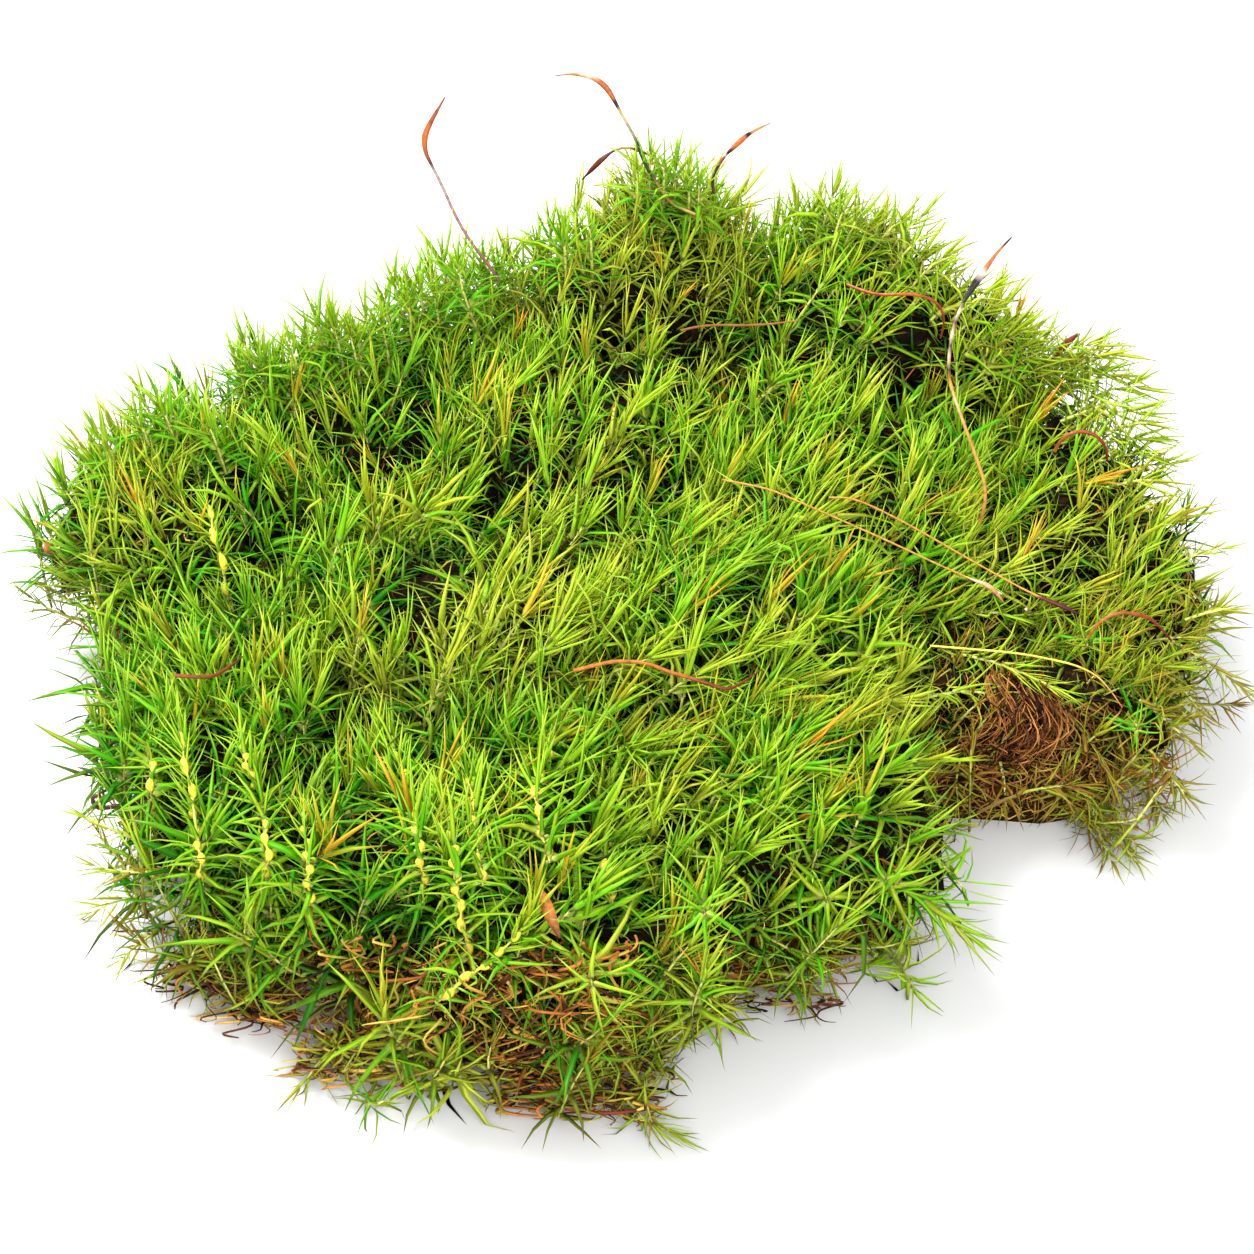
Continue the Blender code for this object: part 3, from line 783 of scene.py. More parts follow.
def chains_object(chains: list[np.ndarray], values: dict[str, list[np.ndarray]]) -> Object:
    """Make an object of edge chains whose points carry named numbers and their own strip of the map.

    Args:
        chains: The points of each chain, in metres.
        values: For each attribute, the numbers of each chain's points.

    Returns:
        The object, linked to the scene.
    """
    count = len(chains)
    width = 0.9 / count if count > 1 else 1.0
    values = values | {"strip": [np.full(len(chain), width) for chain in chains],
        "start": [np.full(len(chain), i / count) for i, chain in enumerate(chains)]}
    edges = []
    start = 0
    for chain in chains:
        edges.extend((start + i, start + i + 1) for i in range(len(chain) - 1))
        start += len(chain)
    mesh = bpy.data.meshes.new("chains")
    mesh.from_pydata(np.concatenate(chains).tolist(), edges, [])
    for key, numbers in values.items():
        layer = mesh.attributes.new(key, "FLOAT", "POINT")
        layer.data.foreach_set("value", np.concatenate(numbers).astype(np.float32))
    return new_object("chains", mesh)


def tubes_along(name: str, chains: list[np.ndarray], values: dict[str, list[np.ndarray]], tubes: NodeTree,
        finish: Material, points: int, sides: int) -> Object:
    """Skin some paths.

    Args:
        name: The name of the piece.
        chains: The points of each path, in metres.
        values: For each attribute, the numbers of each path's points.
        tubes: The node group that skins paths.
        finish: The material.
        points: How many rings each tube has.
        sides: How many sides each ring has.

    Returns:
        The piece, linked to the scene.
    """
    return evaluated(name, chains_object(chains, values), tubes,
        {"Points": points, "Sides": sides, "Map height": 1.0, "Finish": finish})


def unit(v: np.ndarray) -> np.ndarray:
    """Scale a vector to length 1."""
    return v / max(float(np.linalg.norm(v)), 1e-9)


def outward(way: np.ndarray, place: np.ndarray) -> np.ndarray:
    """Take out of a way whatever points back to the middle of the clump.

    Args:
        way: The way that a shoot points.
        place: Where the shoot stands.

    Returns:
        The way, pointing up or outwards.
    """
    out = unit(np.array([place[0], place[1], 0.0]))
    return unit(way - out * min(0.0, float(way @ out)) + np.array([0.0, 0.0, 0.05]))


@dataclass(frozen=True)
class Growth:
    """What grown pieces share: the node groups, the leaf shapes and the finishes by name."""

    shoots: NodeTree
    tubes: NodeTree
    leaves: Collection
    finishes: dict[str, Material]


@dataclass
class StemTable:
    """Stems with the numbers that their leaves need, grown together into one piece."""

    chains: list = field(default_factory=list)
    values: dict = field(default_factory=dict)

    def add(self, points_mm: np.ndarray, numbers: dict[str, object]) -> None:
        """Add a stem.

        Args:
            points_mm: Its points from foot to tip, in millimetres.
            numbers: For each attribute, one number or a number for each point.
        """
        self.chains.append(points_mm * MM)
        for key, number in numbers.items():
            self.values.setdefault(key, []).append(np.broadcast_to(number, len(points_mm)))

    def grow(self, name: str, growth: Growth, leaf_gap_mm: float, seed: int) -> Object:
        """Grow every stem with its leaves into one piece.

        Args:
            name: The name of the piece.
            growth: What grown pieces share.
            leaf_gap_mm: How far apart the leaves sit along a stem.
            seed: The seed of the leaves' jitter.

        Returns:
            The piece.
        """
        reach = sum(np.linalg.norm(np.diff(chain, axis=0), axis=1).sum() for chain in self.chains) / MM
        squares = reach / leaf_gap_mm + 2 * len(self.chains)
        return evaluated(name, chains_object(self.chains, self.values), growth.shoots,
            {"Leaves": growth.leaves, "Leaf gap": leaf_gap_mm * MM, "Turn": GOLDEN_TURN,
            "Floor": FLOOR_GAP_MM * MM, "Cells": math.ceil(math.sqrt(squares)) + 2, "Seed": seed,
            "Leaf finish": growth.finishes["leaf"], "Stem finish": growth.finishes["stem"]})


@dataclass(frozen=True)
class Shoot:
    """One shoot: where its tip is, which way it points, how long its leafy stem is."""

    tip: np.ndarray
    way: np.ndarray
    length: float
    rank: int


@dataclass
class MossTuft:
    """One tuft of leafy shoots, grown on the frame's cushion of the same name."""

    place: str
    leaf_mm: float = 6.5
    comb: tuple = (0.0, 0.0, 1.0)
    spread_deg: float = 36.0
    tip_spread_deg: float = 5.0
    tone: float = 0.5
    olive: float = 0.0
    arch: float = 0.15
    pull_back: float = 0.75
    comb_share: float = 0.62
    leaf_gap_mm: float = 0.46
    unruly: float = 0.24
    bare: float = 0.30
    stem_mm: float = 14.0
    filler_share: float = 0.42
    filler_stem_mm: float = 9.0
    wall_gap_mm: float = 3.0
    foot_mm: float = 13.0
    rooted_mm: float = 10.0
    seed: int = 1
    node_prefix: str = "moss_tuft_"
    piece_prefix: str = "leafy_shoots_"
    slot: Slot = Slot.MOSS
    chain_points: int = 7
    spine_rise_mm: float = 2.2
    shoots: list = field(default_factory=list)

    def node_name(self) -> str:
        """Name the node of the frame that this tuft stands for."""
        return self.node_prefix + self.place

    def find_shoots(self, node: Object) -> None:
        """Find the cushion's pointed tips, and places for shorter shoots between them.

        Args:
            node: The frame's cushion.
        """
        rng = np.random.default_rng(self.seed)
        shape = merged_copy(node)
        shape.normal_update()
        spots = np.array([v.co[:] for v in shape.verts]) / MM
        around = [[e.other_vert(v).index for e in v.link_edges] for v in shape.verts]
        lowest = spots[:, 2].min()
        axes = {}
        for i, near in enumerate(around):
            way = spots[i] - spots[near].mean(axis=0)
            normal = np.array(shape.verts[i].normal)
            hanging = way[2] < 0.0 and way[:2] @ spots[i, :2] < 0.0
            if np.linalg.norm(way) > self.spine_rise_mm and way @ normal > 0 and not hanging \
                    and spots[i, 2] > lowest + 0.05:
                axes[i] = unit(way)
        self.shoots = [Shoot(spots[i], axes[i], self.stem_mm * rng.uniform(0.85, 1.15), 0) for i in axes]
        for i, near in enumerate(around):
            ways = [axes[j] for j in near if j in axes]
            if i in axes or len(ways) < 2 or rng.random() > self.filler_share:
                continue
            way = unit(np.mean(ways, axis=0) + rng.normal(0, 0.12, 3))
            tip = spots[i] + way * rng.uniform(2.0, 5.5)
            self.shoots.append(Shoot(tip, way, self.filler_stem_mm * rng.uniform(0.85, 1.2), 1))
        shape.free()

    def fill_walls(self, node: Object, comb_field: "CombField") -> None:
        """Add shoots on the outer walls, where the frame's cushion has only a few pointed tips.

        Args:
            node: The frame's cushion.
            comb_field: Tells which places lie at the outer rim.
        """
        rng = np.random.default_rng(self.seed + 50)
        shape = merged_copy(node)
        shape.normal_update()
        tips = [shoot.tip for shoot in self.shoots]
        for face in shape.faces:
            normal = np.array(face.normal)
            spot = np.array(face.calc_center_median()) / MM
            way = unit(normal * 0.55 + np.array([0.0, 0.0, 0.7]) + rng.normal(0, 0.12, 3))
            tip = spot + way * rng.uniform(2.0, 5.0)
            shoot = Shoot(tip, way, self.filler_stem_mm * rng.uniform(0.9, 1.3), 2)
            crowded = min(np.linalg.norm(np.array(tips) - tip, axis=1)) < self.wall_gap_mm
            if -0.3 < normal[2] < 0.7 and not crowded and tip[2] > 2.0 and comb_field.at_rim(shoot):
                tips.append(tip)
                self.shoots.append(shoot)
        shape.free()

    def stems(self, comb_field: "CombField") -> StemTable:
        """Bend a stem to each shoot and say what its leaves are like along it.

        Args:
            comb_field: How the whole cushion is combed and how high it stands.

        Returns:
            The stems.
        """
        rng = np.random.default_rng(self.seed + 100)
        share = np.linspace(0.0, 1.0, self.chain_points)
        t = share[:, None]
        table = StemTable()
        for shoot in self.shoots:
            rim = comb_field.at_rim(shoot) or shoot.tip[2] < self.foot_mm
            hanging = shoot.way[2] < -0.15 and shoot.tip[2] < self.foot_mm * 1.3
            if comb_field.in_hollow(shoot) or hanging or shoot.tip[2] < self.foot_mm * rng.uniform(0.5, 1.0):
                continue
            tip, raised = comb_field.raised(shoot)
            length = shoot.length + raised
            own_way = outward(shoot.way, shoot.tip) if rim else shoot.way
            way = unit(comb_field.comb_at(shoot, self) + rng.normal(0, self.unruly, 3))
            way = outward(way, shoot.tip) if rim else way
            tip = tip - way * self.leaf_mm * self.pull_back
            upward = np.array([0.0, 0.0, 0.6])
            foot_way = unit(own_way + upward * 0.2) if rim else unit(way * 0.5 + own_way * 0.3 + upward)
            knee = tip - way * length * 0.5
            foot = knee - foot_way * length * 0.5
            if foot[2] < 0.0 and tip[2] < self.rooted_mm:
                continue
            points = foot * (1 - t) ** 2 + 2 * knee * t * (1 - t) + tip * t ** 2
            points[:, 2] = np.maximum(points[:, 2], 0.6)
            local = noise.noise(Vector(tip) * 0.07) * 0.55 + noise.noise(Vector(tip) * 0.21) * 0.3
            wide = math.radians(self.spread_deg)
            narrow = math.radians(self.tip_spread_deg * rng.uniform(0.4, 2.6))
            low = max(0.0, 1 - tip[2] / 22.0)
            # At the rim and the foot the share starts at 0.5, so the lower leaves there take less painted
            # shade.
            table.add(points, {"share": np.interp(share, [0.0, 0.6, 1.0], [0.5, 0.76, 1.0]) if rim else share,
                "leaf_length": self.leaf_mm * MM * rng.uniform(0.85, 1.15) * np.interp(share,
                [0.0, 0.3, 0.75, 1.0], [0.8, 1.0, 1.0, 0.85]) * np.interp(tip[2], [6.0, 23.0],
                [0.48 if rim else 1.0, 1.0]), "spread": np.interp(share, [0.0, 0.5, 0.74, 0.83, 1.0],
                [wide * 1.5, wide * 1.3, wide * 0.9, narrow * 1.7, narrow]), "tone": self.tone + local
                + rng.uniform(-0.10, 0.10), "olive": min(1.0, self.olive + low * rng.uniform(0.4, 1.6)),
                "gold": max(0.0, rng.normal(-0.22, 0.75)), "phase": rng.uniform(0, 2 * math.pi), "bare": 0.12
                if rim else self.bare, "arch": self.arch * np.interp(share, [0.0, 0.85, 1.0],
                [1.0, 1.0, 0.0]), "radius": np.interp(share, [0.0, 0.8, 1.0], [0.22, 0.18, 0.06]) * MM})
        return table

    def build(self, comb_field: "CombField", growth: Growth) -> Object:
        """Grow the tuft and set it in place of its cushion.

        Args:
            comb_field: How the whole cushion is combed and how high it stands.
            growth: What grown pieces share.

        Returns:
            The finished piece.
        """
        name = self.piece_prefix + self.place
        piece = self.stems(comb_field).grow(name, growth, self.leaf_gap_mm, self.seed)
        return dress(piece, self.slot, self.node_name())


@dataclass
class CombField:
    """How the cushion as a whole is combed, and how high its shoots stand where tufts meet."""

    tufts: list
    studio: Studio
    hollows_px: tuple
    blend_mm: float = 17.0
    near_mm: float = 9.5
    level_mm: float = 11.0
    level_rank: float = 60.0
    raise_share: float = 0.85
    most_raised_mm: float = 10.0
    seam_floor_mm: float = 14.0
    ring_mm: float = 15.0
    sectors: int = 7
    rim_low_mm: float = 2.0
    rim_high_mm: float = 9.0

    def __post_init__(self) -> None:
        """Gather the tips and the middles of all tufts."""
        self.middles = []
        for tuft in self.tufts:
            low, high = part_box(tuft.node_name())
            self.middles.append(((low + high) / 2 / MM)[:2])
        self.tips = np.array([s.tip for t in self.tufts for s in t.shoots if s.rank == 0])
        self.owner = np.array([i for i, t in enumerate(self.tufts) for s in t.shoots if s.rank == 0])

    def at_rim(self, shoot: Shoot) -> bool:
        """Tell whether a shoot stands at the outer rim, where some side has no shoots beside it."""
        away = self.tips[:, :2] - shoot.tip[:2]
        flat = np.hypot(away[:, 0], away[:, 1])
        around = (flat > 1.0) & (flat < self.ring_mm)
        turns = np.arctan2(away[around, 1], away[around, 0])
        sectors = set((turns * self.sectors / (2 * math.pi) + self.sectors / 2).astype(int) % self.sectors)
        return len(sectors) < self.sectors

    def in_hollow(self, shoot: Shoot) -> bool:
        """Tell whether a shoot's tip would cover one of the dark hollows that the photograph shows."""
        column, row = self.studio.pixel(shoot.tip)
        return any(((column - x) / wide) ** 2 + ((row - y) / high) ** 2 < 1 for x, y, wide,
            high in self.hollows_px)

    def raised(self, shoot: Shoot) -> tuple[np.ndarray, float]:
        """Lift a shoot that stands in the seam between two tufts up to the level around it.

        Args:
            shoot: The shoot.

        Returns:
            Its tip and how far it was lifted.
        """
        flat = np.hypot(self.tips[:, 0] - shoot.tip[0], self.tips[:, 1] - shoot.tip[1])
        near = flat < self.near_mm
        if len(set(self.owner[near])) < 2 or shoot.tip[2] < self.seam_floor_mm or self.at_rim(shoot):
            return shoot.tip, 0.0
        level = np.percentile(self.tips[flat < self.level_mm][:, 2], self.level_rank)
        lift = min(max(0.0, (level - shoot.tip[2]) * self.raise_share), self.most_raised_mm)
        return shoot.tip + np.array([0.0, 0.0, lift]), lift

    def comb_at(self, shoot: Shoot, tuft: MossTuft) -> np.ndarray:
        """Blend the tufts' combing at a shoot and mix it with the shoot's own way.

        Args:
            shoot: The shoot.
            tuft: Its tuft.

        Returns:
            The way that the shoot points.
        """
        weights = [math.exp(-((shoot.tip[0] - x) ** 2 + (shoot.tip[1] - y) ** 2) / (2 * self.blend_mm ** 2))
            for x, y in self.middles]
        comb = sum(w * np.array(t.comb) for w, t in zip(weights, self.tufts)) / sum(weights)
        swirl = np.array(noise.noise_vector(Vector(shoot.tip) * 0.045)) * 0.35
        height = (shoot.tip[2] - self.rim_low_mm) / (self.rim_high_mm - self.rim_low_mm)
        part = tuft.comb_share * min(max(height, 0.0), 1.0)
        return unit(shoot.way * (1 - part) + unit(comb + swirl) * part)


def rough(point: Vector, octaves: tuple) -> float:
    """Add up noise of several sizes at a point.

    Args:
        point: The place in millimetres.
        octaves: For each size, the size and the height in millimetres.

    Returns:
        The height in millimetres.
    """
    return sum(height * noise.noise(point / size) for size, height in octaves)


@dataclass
class FeltCore:
    """The matted body inside the tufts: dead lower stems and brown felt, with gullies between tufts; its
    near-black colour is partly painted shade.
    """

    tufts: list
    voxel_mm: float = 2.3
    sink_mm: float = 5.5
    wall_share: float = 0.25
    rim_share: float = 0.35
    foot_mm: float = 8.5
    foot_top_mm: float = 15.0
    octaves: tuple = ((6.0, 1.6), (2.2, 1.3))

    def lowered(self, node: Object, tuft: MossTuft) -> BMesh:
        """Copy a cushion of the frame with its pointed tips pulled down between their neighbours."""
        shape = merged_copy(node)
        spots = {v: v.co.copy() for v in shape.verts}
        for vertex in shape.verts:
            near = [spots[e.other_vert(vertex)] for e in vertex.link_edges]
            level = sum(near, Vector()) / len(near)
            if (spots[vertex] - level).length > tuft.spine_rise_mm * MM:
                vertex.co = level
        return shape

    def build(self, nodes: dict[str, Object], finish: Material) -> Object:
        """Fuse the cushions, sink the surface below the shoots' tips and roughen it.

        Args:
            nodes: The frame's nodes by name.
            finish: The felt's material.

        Returns:
            The finished piece.
        """
        whole = bmesh.new()
        for tuft in self.tufts:
            part = self.lowered(nodes[tuft.node_name()], tuft)
            mesh = bpy.data.meshes.new("part")
            part.to_mesh(mesh)
            part.free()
            whole.from_mesh(mesh)
            bpy.data.meshes.remove(mesh)
        piece = as_piece("felt_core", whole, finish, *(tuft.node_name() for tuft in self.tufts))
        fuse = piece.modifiers.new("fuse", "REMESH")
        fuse.mode = "VOXEL"
        fuse.voxel_size = self.voxel_mm * MM
        apply_modifiers(piece)
        shape = bmesh.new()
        shape.from_mesh(piece.data)
        shape.normal_update()
        moves = []
        for vertex in shape.verts:
            spot = vertex.co / MM
            wall = np.interp(vertex.normal.z, [0.1, 0.7], [self.wall_share, 1.0])
            edge = np.interp(math.hypot(spot.x / 84.0, spot.y / 77.0), [0.6, 0.9], [1.0, self.rim_share])
            shallow = np.interp(spot.y, [-10.0, 15.0], [1.0, min(wall, edge)])
            deep = self.sink_mm * shallow + rough(spot, self.octaves)
            spot = spot - vertex.normal * deep
            if spot.z < self.foot_top_mm:
                spot.z = float(np.interp(spot.z, [10.0, self.foot_top_mm], [self.foot_mm, self.foot_top_mm]))
            moves.append(spot * MM)
        for vertex, place in zip(shape.verts, moves):
            vertex.co = place
        shape.to_mesh(piece.data)
        shape.free()
        return piece


def as_piece(name: str, shape: BMesh, finish: Material, *stands_for: str) -> Object:
    """Turn a shape into a finished piece of root felt.

    Args:
        name: The name of the piece.
        shape: The shape, which is freed.
        finish: Its material.
        stands_for: The frame's nodes that it replaces.

    Returns:
        The piece, linked to the scene.
    """
    mesh = bpy.data.meshes.new(name)
    shape.to_mesh(mesh)
    shape.free()
    mesh.materials.append(finish)
    return dress(new_object(name, mesh), Slot.ROOT_MAT, *stands_for, smooth=True)


def apply_modifiers(piece: Object) -> None:
    """Replace a piece's mesh by what its modifiers make of it."""
    ready = piece.evaluated_get(bpy.context.evaluated_depsgraph_get())
    mesh = bpy.data.meshes.new_from_object(ready)
    piece.modifiers.clear()
    old = piece.data
    mesh.name = old.name
    piece.data = mesh
    bpy.data.meshes.remove(old)


@dataclass
class RootMat:
    """The slab of dead lower stems, rhizoid felt and soil, cut flat where the clump left the ground."""

    node_name: str = "root_mat"
    centre_mm: tuple = (0.0, 4.4)
    columns: int = 300
    levels: int = 14
    top_mm: float = 12.5
    octaves: tuple = ((9.0, 1.2), (3.0, 1.2), (1.3, 0.6))

    def radii(self, node: Object) -> list[tuple[float, np.ndarray, np.ndarray]]:
        """Read the outline of the frame's slab, level by level.

        Args:
            node: The frame's slab.

        Returns:
            For each level, its height, and the angles and radii of its points.
        """
        shape = merged_copy(node)
        spots = np.array([v.co[:] for v in shape.verts]) / MM
        shape.free()
        rows = []
        for height in np.unique(spots[:, 2].round(2)):
            row = spots[abs(spots[:, 2] - height) < 0.02]
            x, y = row[:, 0] - self.centre_mm[0], row[:, 1] - self.centre_mm[1]
            if len(row) > 3:
                turn = np.arctan2(y, x)
                order = np.argsort(turn)
                rows.append((float(height), turn[order], np.hypot(x, y)[order]))
        return rows

    def build(self, nodes: dict[str, Object], finish: Material) -> Object:
        """Loft the rough slab and close it.

        Args:
            nodes: The frame's nodes by name.
            finish: The slab's material.

        Returns:
            The finished piece.
        """
        rows = self.radii(nodes[self.node_name])
        turns = np.linspace(-math.pi, math.pi, self.columns, endpoint=False)
        table = np.array([np.interp(turns, angles, radii, period=2 * math.pi) for _, angles, radii in rows])
        heights = [row[0] for row in rows]
        shape = bmesh.new()
        rings = []
        for z in np.linspace(0.0, self.top_mm, self.levels):
            ring = []
            for i, turn in enumerate(turns):
                reach = float(np.interp(z, heights, table[:, i]))
                spot = Vector((self.centre_mm[0] + reach * math.cos(turn), self.centre_mm[1]
                    + reach * math.sin(turn), z))
                reach = (reach - 0.8 + rough(spot, self.octaves)) / reach
                spot.x = self.centre_mm[0] + (spot.x - self.centre_mm[0]) * reach
                spot.y = self.centre_mm[1] + (spot.y - self.centre_mm[1]) * reach
                ring.append(shape.verts.new(spot * MM))
            rings.append(ring)
        for low, high in zip(rings, rings[1:]):
            for i in range(self.columns):
                after = (i + 1) % self.columns
                shape.faces.new((low[i], low[after], high[after], high[i]))
        for ring, z in ((rings[0][::-1], 0.0), (rings[-1], self.top_mm)):
            middle = shape.verts.new(Vector((*self.centre_mm, z)) * MM)
            for i, vertex in enumerate(ring):
                shape.faces.new((vertex, ring[(i + 1) % self.columns], middle))
        return as_piece(self.node_name + "_felted", shape, finish, self.node_name)


@dataclass(frozen=True)
class ScatterTree:
    """The node group that strews leaves or curls over a surface, each with its own square of the map."""

    ranges: tuple = (("turn", 0.0, 6.283), ("roll", -1.0, 1.0), ("size", 0.0, 1.0), ("tone", 0.0, 1.0),
        ("lift", 0.0, 1.0))
    inputs: tuple = (("Surface", "Geometry"), ("Shapes", "Collection"), ("Density", "Float"),
        ("Smallest", "Float"), ("Largest", "Float"), ("Lean", "Float"), ("Lift", "Float"), ("Floor", "Float"),
        ("Cells", "Int"), ("Seed", "Int"), ("Finish", "Material"))

    def build(self) -> NodeTree:
        """Build the node group.

        Returns:
            The node group, which takes the faces that carry the shapes.
        """
        tree, add, given = new_group("strewn_bits", self.inputs, "Bits")
        chance = drawn(add, given["Seed"], self.ranges)
        spots = add("GeometryNodeDistributePointsOnFaces", {"Mesh": given["Surface"],
            "Density": given["Density"], "Seed": given["Seed"]}).outputs
        turn = add(XYZ, {"Z": chance["turn"]})
        turned = add(TURNED, [spots["Rotation"], turn], rotation_space="LOCAL")
        roll = add(MATH, [chance["roll"], given["Lean"]], operation="MULTIPLY")
        lift = add(MATH, [chance["lift"], given["Lift"]], operation="MULTIPLY")
        down = add(MATH, [lift, -1.0], operation="MULTIPLY")
        leaning = add(XYZ, {"X": roll, "Y": down})
        placed_by = add(TURNED, [turned, leaning], rotation_space="LOCAL")
        size = add(MIX, {"Factor": chance["size"], 2: given["Smallest"], 3: given["Largest"]})
        shapes = add("GeometryNodeCollectionInfo", {"Collection": given["Shapes"], "Separate Children": True,
            "Reset Children": True})
        put = add("GeometryNodeInstanceOnPoints", {"Points": spots["Points"], "Instance": shapes,
            "Pick Instance": True, "Rotation": placed_by, "Scale": size})
        toned = add(STORE, {"Geometry": put, "Name": "leaf_tone", "Value": chance["tone"]}, domain="INSTANCE")
        mapped = LeafMap().build(add, given, toned)
        done = add("GeometryNodeSetMaterial", {"Geometry": mapped, "Material": given["Finish"]})
        add("NodeGroupOutput", {"Bits": done})
        return tree


@dataclass(frozen=True)
class CurlFinish:
    """Dead curled leaf or root hair: dry, dull and woody, from straw over orange-brown to near black.

    Each curl has one colour with a darker foot, so a tangle of them reads as many separate threads.
    """

    name: str
    colours: tuple
    roughness: float = 0.6
    along: str = "share"

    def build(self) -> Material:
        """Build the node tree.

        Returns:
            The finished material.
        """
        material, add = new_material(self.name)
        own, share = (add("ShaderNodeAttribute", attribute_name=name).outputs["Fac"]
            for name in ("leaf_tone", self.along))
        place = add("ShaderNodeTexCoord").outputs["Object"]
        patch = add(NOISE, {"Vector": place, "Scale": 1 / (9.0 * MM), "Detail": 1.0})
        grain = add(NOISE, {"Vector": place, "Scale": 1 / (0.8 * MM), "Detail": 2.0})
        mixed = add(MATH, [patch, 0.9, own], operation="MULTIPLY_ADD")
        centred = add(MATH, [mixed, 0.45], operation="SUBTRACT")
        body = colour_stops(add(RAMP, {"Fac": centred}), self.colours)
        foot = add(REMAP, [share, 0.0, 0.5, 0.45, 1.0])
        fleck = add(REMAP, [grain, 0.3, 0.7, 0.75, 1.1])
        shade = add(MATH, [foot, fleck], operation="MULTIPLY")
        colour = add(MIX, {"Factor": 1.0, 6: body, 7: shade}, data_type="RGBA", blend_type="MULTIPLY")
        skin = add(SKIN, {"Base Color": colour, "Roughness": self.roughness, "Specular IOR Level": 0.08})
        add(SURFACE, {"Surface": skin})
        return material


@dataclass
class CurlSet:
    """The curl shapes: dead leaves and root hairs, each a centimetre long and wound to an arc or a coil."""

    seed: int = 21
    kinds: int = 7
    points: int = 8
    sides: int = 3
    long_mm: float = 10.0
    radius_mm: float = 0.20
    turns: tuple = (2.2, 6.5)

    def build(self, tubes: NodeTree, finish: Material) -> Collection:
        """Wind the curls.

        Args:
            tubes: The node group that skins paths.
            finish: The curls' material.

        Returns:
            A collection that isn't linked to the scene.
        """
        rng = np.random.default_rng(self.seed)
        kinds = bpy.data.collections.new("curl_shapes")
        share = np.linspace(0.0, 1.0, self.points)
        step = 1.0 / (self.points - 1)
        for number in range(self.kinds):
            bend = rng.uniform(*self.turns) * rng.choice([-1, 1])
            angle = rng.uniform(0.5, 1.3) + bend * share ** rng.uniform(0.8, 1.6)
            x, z = (np.concatenate([[0.0], np.cumsum(wave(angle[:-1]) * step)]) for wave in (np.cos, np.sin))
            y = 0.35 * np.sin(share * rng.uniform(2.0, 5.0)) * rng.choice([-1, 1])
            thick = np.interp(share, [0, 0.6, 1], [1.0, 0.8, 0.25]) * self.radius_mm
            path = np.stack([x, y, z], axis=1) * self.long_mm * MM
            curl = tubes_along(f"curl_{number}", [path], {"share": [share], "radius": [thick * MM]}, tubes,
                finish, self.points, self.sides)
            curl.data.uv_layers[BAKE_MAP].name = "cell"
            bpy.context.scene.collection.objects.unlink(curl)
            kinds.objects.link(curl)
        return kinds


@dataclass(frozen=True)
class Strewn:
    """Leaves or curls strewn over a part of a surface, with the record's slot that they belong to."""

    name: str
    slot: Slot
    smallest: float
    largest: float
    count: int
    seed: int
    lean: float
    lift: float

    def build(self, surface: BMesh, shapes: Collection, tree: NodeTree, finish: Material) -> Object:
        """Strew the shapes over a surface.

        Args:
            surface: The faces that carry the shapes. It is freed.
            shapes: The shapes.
            tree: The node group that strews.
            finish: The shapes' material.

        Returns:
            The finished piece.
        """
        area = sum(face.calc_area() for face in surface.faces)
        mesh = bpy.data.meshes.new("surface")
        surface.to_mesh(mesh)
        surface.free()
        piece = evaluated(self.name, new_object("surface", mesh), tree,
            {"Shapes": shapes, "Density": self.count / area, "Smallest": self.smallest,
            "Largest": self.largest, "Lean": self.lean, "Lift": self.lift, "Floor": FLOOR_GAP_MM * MM,
            "Cells": math.ceil(math.sqrt(self.count * 1.3)) + 2, "Seed": self.seed, "Finish": finish})
        return dress(piece, self.slot)


def patch_of(pieces: tuple, low_mm: float, high_mm: float, flattest: float) -> BMesh:
    """Copy the faces of some pieces that lie between two heights and don't face down.

    Args:
        pieces: The pieces.
        low_mm: The lowest height of a face's middle.
        high_mm: The greatest height.
        flattest: How far up a face may look, as the height of its normal.

    Returns:
        The faces.
    """
    patch = bmesh.new()
    for piece in pieces:
        patch.from_mesh(piece.data)
    patch.normal_update()
    off = [face for face in patch.faces if not low_mm * MM < face.calc_center_median().z < high_mm * MM
        or not -0.4 < face.normal.z < flattest]
    bmesh.ops.delete(patch, geom=off, context="FACES")
    return patch


